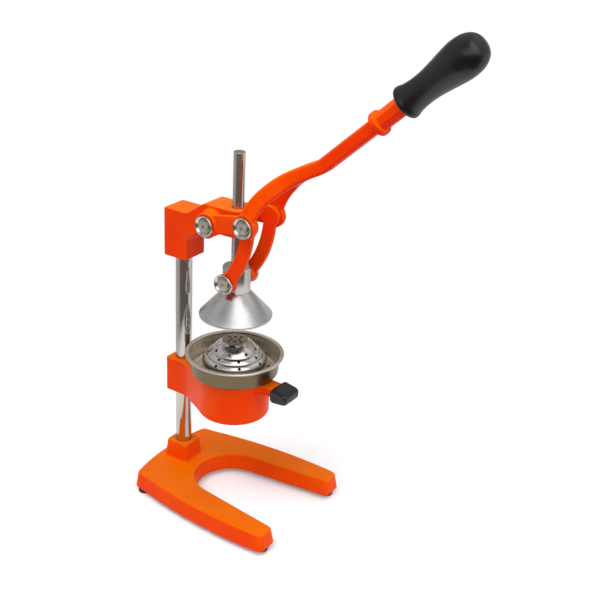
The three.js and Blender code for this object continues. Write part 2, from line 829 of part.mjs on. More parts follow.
function domeNotches() {
  const inner = domeSkirtRadius - domeHoleReach;
  return Array.from({ length: domeHolesPerRow }, (_, notch) => {
    const opening = box(inner, domeFlangeRadius + overrun, -domeNotchHalfWidth, domeNotchHalfWidth,
      domeBottomZ - overrun, domeBottomZ + domeNotchHeight);
    return opening.rotateZ((2 * Math.PI * notch) / domeHolesPerRow);
  });
}

function strainerDome() {
  const outer = [
    roundRing(domeFlangeRadius, domeBottomZ),
    roundRing(domeFlangeRadius, domeBottomZ + panSheet),
    ...domeOuterShares.map((row) => domeRing(row)).reverse(),
  ];
  const innerRadius = domeSkirtRadius - domeShell;
  const inner = [
    roundRing(innerRadius, domeBottomZ - overrun),
    ...domeInnerRows.map((row) => domeRing(domeOuterShares[row], domeShell)).reverse(),
    domeRing(domeCeilingShares, domeShell),
  ];
  const cap = domeAngles().map((angle) => new THREE.Vector2(Math.cos(angle), Math.sin(angle)));
  const shell = cut(loft(outer, cap), loft(inner, cap));
  return cut(shell, ...domeSideHoles(), ...domeTopHoles(), ...domeNotches());
}

// Head bracket
function headOutline() {
  const blockTop = headBottomZ + headBlockHeight;
  const rampEndX = headHalfWidth + armRampReach;
  const noseX = pressAxisX + headHalfWidth;
  return rounded([
    [-headHalfWidth, headBottomZ, headRound],
    [headHalfWidth, headBottomZ, headRound],
    [headHalfWidth, headBottomZ + armRampFootRise, armFilletRadius],
    [rampEndX, armBottomZ, armFilletRadius],
    [noseX, armBottomZ, headRound],
    [noseX, armTopZ, headRound],
    [rampEndX, armTopZ, armFilletRadius],
    [headHalfWidth, blockTop, armFilletRadius],
    [-headHalfWidth, blockTop, headRound],
  ]);
}

function headPlan() {
  const noseX = pressAxisX + headHalfWidth;
  return rounded([
    [-headHalfWidth, -headHalfWidth, headRound],
    [noseX, -headHalfWidth, headHalfWidth],
    [noseX, headHalfWidth, headHalfWidth],
    [-headHalfWidth, headHalfWidth, headRound],
  ], noseSteps);
}

function crossBoss() {
  const boss = cylinder("y", crossBossRadius, -crossBossHalfLength, crossBossHalfLength, fulcrum);
  const wide = crossBossRadius + crossBossFlare;
  const end = headHalfWidth + crossBossFlare;
  const left = cylinder("y", wide, headHalfWidth - overrun, end, fulcrum, roundSides, crossBossRadius);
  const right = cylinder("y", crossBossRadius, -end, -headHalfWidth + overrun, fulcrum, roundSides, wide);
  return [boss, left, right];
}

function headBracket() {
  const side = sidePlate(headOutline(), -headHalfWidth, headHalfWidth, headEdge);
  const plan = plate(headPlan(), headBottomZ - overrun, armTopZ + overrun);
  const body = join(common(side, plan), ...crossBoss());
  const columnBore = cylinder("z", columnBoreRadius, headBottomZ - overrun, columnTopZ + clearance);
  const bushBore = cylinder("z", bushOuterRadius + clearance,
    armBottomZ - overrun, armTopZ - bushRecess + clearance, { x: pressAxisX });
  const rodHole = cylinder("z", rodRadius + rodHoleGap, armBottomZ, armTopZ + overrun, { x: pressAxisX });
  const threads = headScrewHeights.map((height) => setScrewBore(-headHalfWidth, headBottomZ + height));
  const taps = Object.values(sides).map((side) => cylinder("y", pivotBoltRadius + clearance,
    ...across(side, crossBossHalfLength - fulcrumBoltReach - clearance, crossBossHalfLength + overrun),
    fulcrum, smallSides));
  return cut(body, columnBore, bushBore, rodHole, ...threads, ...taps);
}

function guideBush() {
  return ring(bushOuterRadius, rodRadius + bushGap, armBottomZ, armTopZ - bushRecess, roundSides);
}

// Slide rod, neck and cone
function slideRod() {
  const rod = turned([
    [0, rodBottomZ],
    [rodRadius, rodBottomZ],
    [rodRadius, rodTopZ - rodChamfer],
    [rodRadius - rodChamfer, rodTopZ],
    [0, rodTopZ],
  ]);
  const thread = cylinder("z", coneScrewRadius + clearance, rodBottomZ - overrun,
    rodBottomZ + coneScrewReach + clearance, {}, smallSides);
  return cut(rod, thread);
}

function pressNeck() {
  const round = turned([
    [0, neckBottomZ],
    [neckRadius, neckBottomZ],
    [neckRadius, neckTopZ - neckRound],
    [neckRadius - neckRound, neckTopZ],
    [0, neckTopZ],
  ]);
  const flats = box(-neckRadius, neckRadius, -neckFlatHalf, neckFlatHalf, neckBottomZ, neckTopZ);
  const rodBore = cylinder("z", rodRadius + clearance, rodBottomZ - clearance, neckTopZ + overrun);
  const screwBore = cylinder("z", coneScrewRadius + clearance,
    neckBottomZ - overrun, rodBottomZ, {}, smallSides);
  const slot = roundedBox(-slotHalfLength, slotHalfLength,
    pressPivot.z - slotHalfHeight, pressPivot.z + slotHalfHeight, slotCornerRadius);
  const slots = Object.values(sides).map((side) =>
    sidePlate(slot, ...across(side, neckFlatHalf - slotDepth, neckFlatHalf + overrun)));
  return cut(common(round, flats), rodBore, screwBore, ...slots);
}

// The cone's inner face runs parallel to its outer face, one wall away.
function pressCone() {
  const fall = coneHeight / (coneRimRadius - coneTopRadius);
  const innerTopZ = coneTopZ - coneWall * Math.hypot(1, fall);
  const innerRim = coneRimRadius - coneWall;
  const ceilingRadius = coneTopRadius + (innerTopZ - coneCeilingZ) / fall;
  const lipZ = coneRimZ - coneLipHeight;
  const bore = coneScrewRadius + clearance;
  return turned([
    [bore, coneTopZ],
    [bore, coneCeilingZ],
    [ceilingRadius, coneCeilingZ],
    [innerRim, innerTopZ - fall * (innerRim - coneTopRadius)],
    [innerRim, lipZ],
    [coneRimRadius - coneLipHeight, lipZ],
    [coneRimRadius, coneRimZ],
    [coneTopRadius, coneTopZ],
  ]);
}

function coneWasher() {
  const top = coneCeilingZ - clearance;
  return ring(coneWasherRadius, coneScrewRadius + clearance, top - coneWasherThickness, top);
}

function coneScrew() {
  const seat = coneCeilingZ - coneWasherThickness - 2 * clearance;
  const tip = rodBottomZ + coneScrewReach;
  return turned([
    [0, seat - coneScrewHeadHeight],
    [coneScrewHeadRadius, seat - coneScrewHeadHeight],
    [coneScrewHeadRadius, seat],
    [coneScrewRadius, seat],
    [coneScrewRadius, tip],
    [0, tip],
  ], smallSides);
}

// Pivot hardware. A profile of [radius, distance from the middle plane] turns about a pivot's axis.
function turnedAcross(profile, pivot, side, facets = smallSides) {
  const points = profile.map(([radius, distance]) => new THREE.Vector2(radius, distance));
  if (points[0].x > 0) points.push(points[0].clone());
  return new THREE.LatheGeometry(points, facets).scale(1, side, 1).translate(pivot.x, 0, pivot.z);
}

function cupWasher({ pivot, seat, boltRadius }, side) {
  const bore = boltRadius + clearance;
  const face = seat + cupThickness;
  return turnedAcross([
    [bore, seat],
    [cupRadius, seat],
    [cupRadius, face - cupRound],
    [cupRadius - cupRound, face],
    [cupBoreRadius, face],
    [cupBoreRadius, seat + cupFloor],
    [bore, seat + cupFloor],
  ], pivot, side, cupSides);
}

function pivotBolt({ pivot, seat, boltRadius, tip }, side) {
  const head = seat + cupFloor + clearance;
  const face = seat + cupThickness;
  const body = turnedAcross([
    [0, tip],
    [boltRadius, tip],
    [boltRadius, head],
    [headRadius, head],
    [headRadius, face],
    [0, face],
  ], pivot, side);
  const socket = cylinder("y", hexSocketRadius,
    ...across(side, face - hexSocketDepth, face + overrun), pivot, hexSides);
  return cut(body, socket);
}

function pivotBush({ pivot, boltRadius, bushRadius, bushFrom, bushTo }, side) {
  const bore = boltRadius + clearance;
  const profile = [[bore, bushFrom], [bushRadius, bushFrom], [bushRadius, bushTo], [bore, bushTo]];
  return turnedAcross(profile, pivot, side);
}

const pivots = {
  fulcrum: {
    pivot: fulcrum,
    seat: tineOuter + clearance,
    boltRadius: pivotBoltRadius,
    tip: crossBossHalfLength - fulcrumBoltReach,
    bushRadius: pivotBushRadius,
    bushFrom: tineInner,
    bushTo: tineOuter,
  },
  crank: {
    pivot: crank,
    seat: tineOuter + clearance,
    boltRadius: pivotBoltRadius,
    tip: linkEyeOuter - crankBoltReach,
    bushRadius: pivotBushRadius,
    bushFrom: tineInner,
    bushTo: tineOuter,
  },
  press: {
    pivot: pressPivot,
    seat: linkBarOuter + clearance,
    boltRadius: pressBoltRadius,
    tip: neckFlatHalf - pressBoltReach,
    bushRadius: pressBushRadius,
    bushFrom: lowerEyeInner,
    bushTo: linkBarOuter,
  },
};

// Links: two eyes and a bar that bows forward between them
function linkBarOutline() {
  const chord = new THREE.Vector2(pressPivot.x - crank.x, pressPivot.z - crank.z);
  const forward = new THREE.Vector2(-chord.y, chord.x).normalize();
  const edge = (offset) => Array.from({ length: linkSteps + 1 }, (_, step) => {
    const share = step / linkSteps;
    const bow = 4 * linkBow * share * (1 - share);
    const onChord = new THREE.Vector2(crank.x, crank.z).addScaledVector(chord, share);
    return onChord.addScaledVector(forward, bow + offset);
  });
  return [...edge(linkBarWidth / 2), ...edge(-linkBarWidth / 2).reverse()];
}

function link(side) {
  const upper = cylinder("y", upperEyeRadius, ...across(side, linkInner, linkEyeOuter), crank);
  const lower = cylinder("y", lowerEyeRadius, ...across(side, lowerEyeInner, linkBarOuter), pressPivot);
  const bar = sidePlate(linkBarOutline(), ...across(side, linkInner, linkBarOuter), linkRound);
  const thread = cylinder("y", pivotBoltRadius + clearance,
    ...across(side, linkInner - overrun, linkEyeOuter + overrun), crank, smallSides);
  const bushBore = cylinder("y", pressBushRadius + clearance,
    ...across(side, lowerEyeInner - overrun, linkBarOuter + overrun), pressPivot, smallSides);
  return cut(join(upper, lower, bar), thread, bushBore);
}

// Lever. Each station of the bend from the crank pivot to the kink is [run, rise, half width, outer
// face, inner face], as shares of the bend's run and rise and of the tine's sizes at the pivot.
const bendShares = [
  [0, 0, 1, 1, 1],
  [0.063, 0.188, 0.98, 0.982, 0.998],
  [0.184, 0.387, 0.94, 0.906, 0.864],
  [0.317, 0.54, 0.93, 0.79, 0.68],
  [0.443, 0.662, 0.91, 0.637, 0.44],
  [0.563, 0.755, 0.87, 0.497, 0.184],
  [0.699, 0.839, 0.83, 0.4, 0.04],
  [0.854, 0.926, 0.8, 0.327, 0],
  [1, 1, 0.782, 0.263, 0],
];
const bendStations = 13;
const crotchStation = 7;
const tineStations = 10;

function bendSections() {
  const place = bendShares.map(([run, rise, , outer]) => new THREE.Vector3(
    THREE.MathUtils.lerp(crank.x, kink.x, run),
    THREE.MathUtils.lerp(crank.z, kink.z, rise),
    tineOuter * outer,
  ));
  const size = bendShares.map(([, , width, , inner]) =>
    new THREE.Vector3(tineHalfWidth * width, tineInner * inner, 0));
  const placePath = new THREE.CatmullRomCurve3(place);
  const sizePath = new THREE.CatmullRomCurve3(size);
  return Array.from({ length: bendStations }, (_, station) => {
    const share = station / (bendStations - 1);
    const { x, y: z, z: outer } = placePath.getPoint(share);
    const { x: halfWidth, y: inner } = sizePath.getPoint(share);
    const heading = placePath.getTangent(share);
    return { x, z, outer, inner, halfWidth, slope: Math.atan2(heading.y, heading.x) };
  });
}

// A section of the lever, square to its slope, from one Y to another.
function leverRing({ x, z, slope, halfWidth }, fromY, toY) {
  const normal = { x: -Math.sin(slope), z: Math.cos(slope) };
  const outline = roundedBox(-halfWidth, halfWidth, fromY, toY, leverRound, leverSteps);
  return outline.map((point) => new THREE.Vector3(x + normal.x * point.x, point.y, z + normal.z * point.x));
}

function leverCap() {
  const half = armHalfThickness;
  return roundedBox(-armHalfWidth, armHalfWidth, -half, half, leverRound, leverSteps);
}

function tine(side) {
  const rings = bendSections().slice(0, tineStations).map((section) =>
    leverRing(section, ...across(side, section.inner, section.outer)));
  return loft(rings, leverCap());
}

function armBend() {
  const rings = bendSections().slice(crotchStation, -1).map((section) =>
    leverRing(section, -section.outer, section.outer));
  for (const along of [0, collarAt]) {
    const place = { ...onArm(along), slope: radians(leverAngle), halfWidth: armHalfWidth };
    rings.push(leverRing(place, -armHalfThickness, armHalfThickness));
  }
  return loft(rings, leverCap());
}

function onArm(along) {
  const slope = radians(leverAngle);
  return { x: kink.x + along * Math.cos(slope), z: kink.z + along * Math.sin(slope) };
}

// Turns a geometry built up +Z so that it runs out along the arm from the kink.
function alongArm(geometry) {
  return geometry.rotateY(Math.PI / 2 - radians(leverAngle)).translate(kink.x, 0, kink.z);
}

function octagon(acrossFlats, from, to) {
  const radius = acrossFlats / 2 / Math.cos(Math.PI / octagonSides);
  return cylinder("z", radius, from, to, {}, octagonSides).rotateZ(Math.PI / octagonSides);
}

function pivotBar(side) {
  const span = Math.hypot(crank.x - fulcrum.x, crank.z - fulcrum.z);
  const outline = rounded([
    [0, -pivotBarBottom],
    [span / 2, -pivotBarWaist, pivotBarWaistRadius],
    [span, -pivotBarBottom],
    [span, pivotBarTop],
    [0, pivotBarTop],
  ]);
  const bar = sidePlate(outline, ...across(side, tineInner, tineOuter - pivotBarRecess));
  const slope = Math.atan2(crank.z - fulcrum.z, crank.x - fulcrum.x);
  return bar.rotateY(-slope).translate(fulcrum.x, 0, fulcrum.z);
}

// A web between the tines that meets the rod when the lever is fully raised.
function stopWeb() {
  const arc = (radius) => Array.from({ length: stopWebSteps + 1 }, (_, step) => {
    const angle = radians(THREE.MathUtils.lerp(stopWebStartAngle, stopWebEndAngle, step / stopWebSteps));
    return new THREE.Vector2(fulcrum.x + radius * Math.cos(angle), fulcrum.z + radius * Math.sin(angle));
  });
  const outline = [...arc(stopWebOuter), ...arc(stopWebInner).reverse()];
  return sidePlate(outline, -stopWebHalfWidth, stopWebHalfWidth);
}

function lever() {
  const tines = Object.values(sides).flatMap((side) => [
    cylinder("y", tineBossRadius, ...across(side, tineInner, tineOuter), fulcrum),
    cylinder("y", tineBossRadius, ...across(side, tineInner, tineOuter), crank),
    pivotBar(side),
    tine(side),
  ]);
  const collar = cylinder("z", collarRadius, collarAt - collarLength / 2, collarAt + collarLength / 2);
  const handle = octagon(octagonAcrossFlats, collarAt, gripAt - clearance);
  const tang = octagon(leverTangAcrossFlats, collarAt, gripAt + leverTangLength);
  const body = join(...tines, armBend(), stopWeb(), ...[collar, handle, tang].map(alongArm));
  const bores = [fulcrum, crank].flatMap((pivot) => Object.values(sides).map((side) =>
    cylinder("y", pivotBushRadius + clearance,
      ...across(side, tineInner - overrun, tineOuter + overrun), pivot, smallSides)));
  return cut(body, ...bores);
}

// Lever grip: a flange, a waist and a bulb with a round end, bored for the tang. Its outline's
// points are [share of the flange radius, share of the length].
const gripOutlineShares = [
  [1, 0.03],
  [0.86, 0.08],
  [0.815, 0.2],
  [0.93, 0.4],
  [1.12, 0.62],
  [1.18, 0.76],
  [1.05, 0.89],
  [0.66, 0.97],
  [0, 1],
];
const gripSteps = 10;
const gripSides = 18;

function leverGrip() {
  const knots = gripOutlineShares.map(([radius, length]) =>
    new THREE.Vector2(gripFlangeRadius * radius, gripAt + gripLength * length));
  const outline = new THREE.SplineCurve(knots).getPoints(gripSteps).map(({ x, y }) => [Math.max(x, 0), y]);
  const body = turned([[0, gripAt], [gripFlangeRadius, gripAt], ...outline], gripSides);
  const socketEnd = gripAt + leverTangLength + clearance;
  const socket = octagon(leverTangAcrossFlats + 2 * clearance, gripAt - overrun, socketEnd);
  return cut(body, socket);
}

// Assembly
const press = new THREE.Group();

function add(name, finish, shape, parent = press) {
  const mesh = new THREE.Mesh(asGeometry(shape), new THREE.MeshStandardMaterial(finishes[finish]));
  mesh.name = name;
  parent.add(mesh);
  return mesh;
}

add("base_casting", "enamel", baseCasting());
footPlaces().forEach(({ x, y }, i) => {
  add(`foot_${i + 1}`, "rubber", foot()).position.set(x, y, 0);
  add(`foot_screw_${i + 1}`, "steel", footScrew()).position.set(x, y, 0);
});
add("column_tube", "chrome", columnTube());
add("column_plug", "steel", columnPlug());
add("column_bolt", "steel", columnBolt());
add("column_washer", "steel", columnWasher());
add("cup_holder", "enamel", cupHolder());
add("holder_grip", "plastic", holderGrip());
add("holder_set_screw", "steel", setScrew(-holderBlockHalf, holderBottomZ + holderScrewHeight));
add("head_bracket", "enamel", headBracket());
headScrewHeights.forEach((height, i) => {
  add(`head_set_screw_${i + 1}`, "steel", setScrew(-headHalfWidth, headBottomZ + height));
});
add("lever", "enamel", lever());

// Round pieces that stand on the press axis
const pressAxis = new THREE.Group();
pressAxis.position.x = pressAxisX;
press.add(pressAxis);
add("juice_pan", "stainless", juicePan(), pressAxis);
add("strainer_dome", "stainless", strainerDome(), pressAxis);
add("guide_bush", "bronze", guideBush(), pressAxis);
add("slide_rod", "chrome", slideRod(), pressAxis);
add("press_neck", "stainless", pressNeck(), pressAxis);
add("press_cone", "stainless", pressCone(), pressAxis);
add("cone_screw", "steel", coneScrew(), pressAxis);
add("cone_washer", "steel", coneWasher(), pressAxis);

// The grip runs out along the arm from the kink
const armAxis = new THREE.Group();
armAxis.position.set(kink.x, 0, kink.z);
armAxis.rotation.y = Math.PI / 2 - radians(leverAngle);
press.add(armAxis);
add("lever_grip", "plastic", leverGrip(), armAxis);

for (const [name, side] of Object.entries(sides)) {
  add(`link_${name}`, "enamel", link(side));
  for (const [pivotName, pivot] of Object.entries(pivots)) {
    add(`${pivotName}_bolt_${name}`, "chrome", pivotBolt(pivot, side));
    add(`${pivotName}_washer_${name}`, "chrome", cupWasher(pivot, side));
    add(`${pivotName}_bush_${name}`, "bronze", pivotBush(pivot, side));
  }
}

// The origin is under the middle of the whole press, on the ground.
const bounds = new THREE.Box3().setFromObject(press, true);
const middle = bounds.getCenter(new THREE.Vector3());
press.position.set(-middle.x, -middle.y, -bounds.min.z);

export default press;
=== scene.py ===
# A lever citrus press in orange enamel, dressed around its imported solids.
# Lengths are millimetres from the foot of the column's axis until at() turns them into the frame.
import json
from contextlib import contextmanager
from math import acos, atan2, cos, hypot, pi, radians, sin, sqrt, tan, tau

import bpy
from mathutils import Matrix, Vector


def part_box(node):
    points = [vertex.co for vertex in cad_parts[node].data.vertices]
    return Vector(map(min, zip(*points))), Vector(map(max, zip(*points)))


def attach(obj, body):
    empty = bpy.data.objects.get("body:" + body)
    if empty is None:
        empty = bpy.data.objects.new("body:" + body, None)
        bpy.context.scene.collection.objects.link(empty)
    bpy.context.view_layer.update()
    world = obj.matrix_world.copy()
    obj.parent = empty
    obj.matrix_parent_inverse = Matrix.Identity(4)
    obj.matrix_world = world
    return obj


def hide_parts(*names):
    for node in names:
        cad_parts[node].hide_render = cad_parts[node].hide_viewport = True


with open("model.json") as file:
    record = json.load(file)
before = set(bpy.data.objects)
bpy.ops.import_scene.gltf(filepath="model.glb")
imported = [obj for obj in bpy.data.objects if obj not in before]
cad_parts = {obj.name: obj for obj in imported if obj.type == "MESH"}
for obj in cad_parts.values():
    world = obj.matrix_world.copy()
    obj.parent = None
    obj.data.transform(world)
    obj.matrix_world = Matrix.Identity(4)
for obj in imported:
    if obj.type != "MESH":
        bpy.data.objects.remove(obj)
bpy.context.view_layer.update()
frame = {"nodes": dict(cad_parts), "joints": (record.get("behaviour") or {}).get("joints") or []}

MM = 0.001
WELD = 0.002 * MM
GAP = 0.3
OVER = 1
SIDES = {"left": 1, "right": -1}


def middle(node):
    """The middle of a node's box, in the frame."""
    low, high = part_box(node)
    return (low + high) / 2


COLUMN_X = middle("column_tube").x
PRESS_X = (middle("slide_rod").x - COLUMN_X) / MM


def at(x, y, z):
    """A point given in millimetres from the foot of the column's axis, in metres in the frame."""
    return Vector((COLUMN_X + x * MM, y * MM, z * MM))


def heights(node):
    """The heights of a node's foot and top in millimetres."""
    return [corner.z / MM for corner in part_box(node)]


def joint_place(name):
    """A joint's place as (x, z) in millimetres."""
    x, _, z = next(joint["pos_m"] for joint in frame["joints"] if joint["name"] == name)
    return Vector(((x - COLUMN_X) / MM, z / MM))


# Pivots and heights that the solids give
FULCRUM = joint_place("lever_hinge")
CRANK = joint_place("link_swing")
PRESS_PIVOT = Vector((PRESS_X, joint_place("press_travel").y))
UNDERSIDE_Z, PEDESTAL_TOP_Z = heights("base_casting")
COLUMN_FOOT_Z, COLUMN_TOP_Z = heights("column_tube")
RING_FOOT_Z, RING_TOP_Z = heights("cup_holder")
DOME_FOOT_Z, DOME_TOP_Z = heights("strainer_dome")
ROD_FOOT_Z, ROD_TOP_Z = heights("slide_rod")
HEAD_FOOT_Z = heights("head_bracket")[0]
NECK_FOOT_Z = heights("press_neck")[0]
CONE_TOP_Z = heights("press_cone")[1]

# Sizes that several pieces share
COLUMN_RADIUS = 11
COLUMN_BORE = COLUMN_RADIUS + GAP
SET_BORE = 4.3
CONE_BORE = 3.3
RING_RADIUS = 47.5
LUG_END_X = PRESS_X + RING_RADIUS + 21
LUG_THICK = 13.3
PAN_FLOOR_Z = RING_TOP_Z + GAP


# Tools of the bench
def select_only(*pieces):
    bpy.ops.object.select_all(action="DESELECT")
    for piece in pieces:
        piece.select_set(True)
    bpy.context.view_layer.objects.active = pieces[0]


@contextmanager
def editing(piece):
    select_only(piece)
    bpy.ops.object.mode_set(mode="EDIT")
    bpy.ops.mesh.select_all(action="SELECT")
    yield
    bpy.ops.object.mode_set(mode="OBJECT")


def apply_modifier(piece, kind, **settings):
    select_only(piece)
    modifier = piece.modifiers.new(kind.lower(), kind)
    for name, value in settings.items():
        setattr(modifier, name, value)
    bpy.ops.object.modifier_apply(modifier=modifier.name)


def new_ring(name, count, fill):
    bpy.ops.mesh.primitive_circle_add(vertices=count, radius=1, fill_type=fill)
    piece = bpy.context.object
    piece.name = piece.data.name = name
    return piece


def prism(name, sides, storeys=1):
    """An upright prism of radius 1, in storeys of height 1."""
    piece = new_ring(name, sides, "NGON")
    with editing(piece):
        for _ in range(storeys):
            bpy.ops.mesh.extrude_region_move(TRANSFORM_OT_translate={"value": (0, 0, 1)})
    return piece


def peg(name, sides, radius, start, end, place=Matrix()):
    """A prism in millimetres from one height to another, set in its place."""
    piece = prism(name, sides)
    size = Matrix.Diagonal((radius * MM, radius * MM, (end - start) * MM, 1))
    piece.data.transform(place @ Matrix.Translation((0, 0, start * MM)) @ size)
    return piece


def lofted(name, rings):
    """A closed skin over a row of rings with as many points each."""
    count = len(rings[0])
    piece = prism(name, count, len(rings) - 1)
    for vertex in piece.data.vertices:
        turn = atan2(-vertex.co.x, vertex.co.y) / tau
        vertex.co = at(*rings[round(vertex.co.z)][round(turn * count) % count])
    with editing(piece):
        bpy.ops.mesh.remove_doubles(threshold=WELD)
        bpy.ops.mesh.normals_make_consistent(inside=False)
    return piece


def spun(name, profile, place=Matrix(), steps=144):
    """Spins a closed profile of (radius, height) about its axis and then sets it in its place."""
    piece = new_ring(name, len(profile), "NOTHING")
    for vertex, (radius, rise) in zip(piece.data.vertices, profile):
        vertex.co = (radius * MM, 0, rise * MM)
    with editing(piece):
        bpy.ops.mesh.spin(steps=steps, angle=tau, center=(0, 0, 0), axis=(0, 0, 1))
        bpy.ops.mesh.select_all(action="SELECT")
        bpy.ops.mesh.remove_doubles(threshold=WELD)
        bpy.ops.mesh.delete_loose(use_faces=False)
        bpy.ops.mesh.select_all(action="SELECT")
        bpy.ops.mesh.normals_make_consistent(inside=False)
    piece.data.transform(place)
    return piece


def soften(piece, width):
    """Rounds the sharp edges of a turned or milled piece."""
    apply_modifier(piece, "BEVEL", width=width * MM, segments=2, limit_method="ANGLE",
                   angle_limit=radians(28), use_clamp_overlap=True)
    return piece


def circle(axis, radius, along, centre, sides=64):
    """A ring of points round an axis; centre is its place on the other two, in their order."""
    ring = []
    for step in range(sides):
        turn = tau * step / sides
        a = centre[0] + radius * cos(turn)
        b = centre[1] + radius * sin(turn)
        ring.append({"x": (along, a, b), "y": (a, along, b), "z": (a, b, along)}[axis])
    return ring


def bar(axis, radius, start, end, centre=(0, 0), sides=64):
    return lofted("bar", [circle(axis, radius, along, centre, sides) for along in (start, end)])


def level(outline, z):
    return [(x, y, z) for x, y in outline]


def upright(outline, y):
    return [(x, y, z) for x, z in outline]


def plate(outline, low, high):
    """A plate whose outline lies in X and Y."""
    return lofted("plate", [level(outline, z) for z in (low, high)])


def side_plate(outline, low, high):
    """A plate whose outline lies in X and Z, from one Y to another."""
    return lofted("side_plate", [upright(outline, y) for y in (low, high)])


def block(low, high):
    corners = [(low[0], low[1]), (high[0], low[1]), (high[0], high[1]), (low[0], high[1])]
    return plate(corners, low[2], high[2])


def across(side, inner, outer):
    """From the inner to the outer face on one side of the middle plane, in rising order."""
    return (inner, outer) if side > 0 else (-outer, -inner)


def boolean(piece, operation, tools):
    for tool in tools:
        apply_modifier(piece, "BOOLEAN", operation=operation, object=tool, solver="EXACT")
        bpy.data.objects.remove(tool)
    return piece


def cut(piece, *tools):
    return boolean(piece, "DIFFERENCE", tools)


def together(piece, *others):
    """Puts meshes in one object without joining their skins."""
    select_only(piece, *others)
    bpy.ops.object.join()
    return piece


def cast(name, piece, grain, passes):
    """Gives a rough body the soft edges and the seamless skin of a casting."""
    apply_modifier(piece, "REMESH", mode="VOXEL", voxel_size=grain * MM)
    apply_modifier(piece, "SMOOTH", factor=0.5, iterations=passes)
    piece.name = piece.data.name = name
    return piece


def copied(piece, name, place):
    """A copy with its own mesh, set in its place."""
    twin = piece.copy()
    twin.data = piece.data.copy()
    twin.name = twin.data.name = name
    bpy.context.collection.objects.link(twin)
    twin.data.transform(place)
    return twin


def rounded(corners, steps=8):
    """An outline whose corners (x, y, radius) are turned into arcs that fit their sides."""
    outline = []
    for i, (x, y, radius) in enumerate(corners):
        corner = Vector((x, y))
        if not radius:
            outline.append(corner)
            continue
        back = Vector(corners[i - 1][:2]) - corner
        ahead = Vector(corners[(i + 1) % len(corners)][:2]) - corner
        room = min(back.length, ahead.length) / 2
        back.normalize()
        ahead.normalize()
        half_angle = back.angle(ahead) / 2
        reach = min(radius / tan(half_angle), room)
        centre = corner + (back + ahead).normalized() * (reach / cos(half_angle))
        start = corner + back * reach - centre
        end = corner + ahead * reach - centre
        turn = atan2(start.cross(end), start.dot(end))
        for step in range(steps + 1):
            outline.append(centre + Matrix.Rotation(turn * step / steps, 2) @ start)
    return outline


def rounded_box(left, right, low, high, radius, steps=8):
    corners = [(left, low), (right, low), (right, high), (left, high)]
    return rounded([(x, y, radius) for x, y in corners], steps)


def arc(centre, radius, start, end, steps):
    """Points of a profile on an arc, from one angle to another in degrees."""
    points = []
    for step in range(steps + 1):
        turn = radians(start + (end - start) * step / steps)
        points.append((centre[0] + radius * cos(turn), centre[1] + radius * sin(turn)))
    return points


def mix(start, end, share):
    return start + (end - start) * share


def spline(knots, share):
    """A point of the smooth curve through a row of knots."""
    knots = [2 * knots[0] - knots[1], *knots, 2 * knots[-1] - knots[-2]]
    place = share * (len(knots) - 3)
    i = min(int(place), len(knots) - 4)
    t = place - i
    a, b, c, d = knots[i:i + 4]
    return b + (c - a) * (t / 2) + (2 * a - 5 * b + 4 * c - d) * (t * t / 2) \
        + (3 * (b - c) + d - a) * (t ** 3 / 2)


def moved(x, y=0, z=0):
    return Matrix.Translation(at(x, y, z))


PRESS_AXIS = moved(PRESS_X)


# Base casting
BASE_TOP_Z = UNDERSIDE_Z + 23
BASE_HALF, BASE_FRONT_X = 96.8, 203
SIDE_BOW, WIDEST_X = 700, 150
REAR_BOW, REAR_REACH = 300, 34
CORNER_ROUND, LEG_ROUND = 8, 6
LEG_INSIDE_Y, GLASS_GAP = 62.7, 48
BASE_DRAFT, BASE_EDGE, BASE_WALL = 5, 2, 4.5
REAR_STEPS, SIDE_STEPS, GAP_STEPS = 12, 24, 40
RIB_PLACES, RIB_HALF, RIB_RISE = (0, 70, 131), 2, 5
FOOT_PLACES = [(x, side * y) for x, y in ((192, 78.5), (-12, 69)) for side in (-1, 1)]
FOOT_BOSS, FOOT_BORE, FOOT_BORE_DEPTH = 9.6, 2.3, 13
COLUMN_BOSS, BOSS_RECESS, BOLT_BORE = 16, 12, 4.5
PEDESTAL_HALF, PEDESTAL_EDGE, PEDESTAL_ROUND = 16.7, 1.6, 4
PEDESTAL_FLARE = [(21.6, -1), (21.3, 0), (19.9, 0.9), (18.75, 3)]


def side_y(x, inset):
    bow = sqrt(SIDE_BOW ** 2 - (x - WIDEST_X) ** 2)
    return BASE_HALF - inset - SIDE_BOW + bow


def rear_x(y, inset):
    bow = sqrt(REAR_BOW ** 2 - y ** 2)
    return inset - REAR_REACH + REAR_BOW - bow


def base_plan(inset):
    """Plan of the base: the rear bow, a side, a leg and half of the round gap, then mirrored."""
    corner_y = side_y(rear_x(BASE_HALF, inset), inset)
    corner_x = rear_x(corner_y, inset)
    tip_x = BASE_FRONT_X - inset
    mouth = Vector((tip_x - PRESS_X, LEG_INSIDE_Y + inset))
    gap = GLASS_GAP + inset
    tangent = atan2(mouth.y, mouth.x) + acos(gap / mouth.length)
    rear = [corner_y * step / REAR_STEPS for step in range(1, REAR_STEPS - 1)]
    run = [mix(corner_x, tip_x, step / SIDE_STEPS) for step in range(2, SIDE_STEPS - 1)]
    turns = [mix(tangent, pi, step / GAP_STEPS) for step in range(GAP_STEPS)]
    half = [*[(rear_x(y, inset), y, 0) for y in rear], (corner_x, corner_y, CORNER_ROUND),
            *[(x, side_y(x, inset), 0) for x in run],
            (tip_x, side_y(tip_x, inset), CORNER_ROUND), (tip_x, mouth.y, LEG_ROUND),
            *[(PRESS_X + gap * cos(turn), gap * sin(turn), 0) for turn in turns]]
    mirrored = [(x, -y, radius) for x, y, radius in reversed(half)]
    return rounded([(rear_x(0, inset), 0, 0), *half, (PRESS_X - gap, 0, 0), *mirrored])


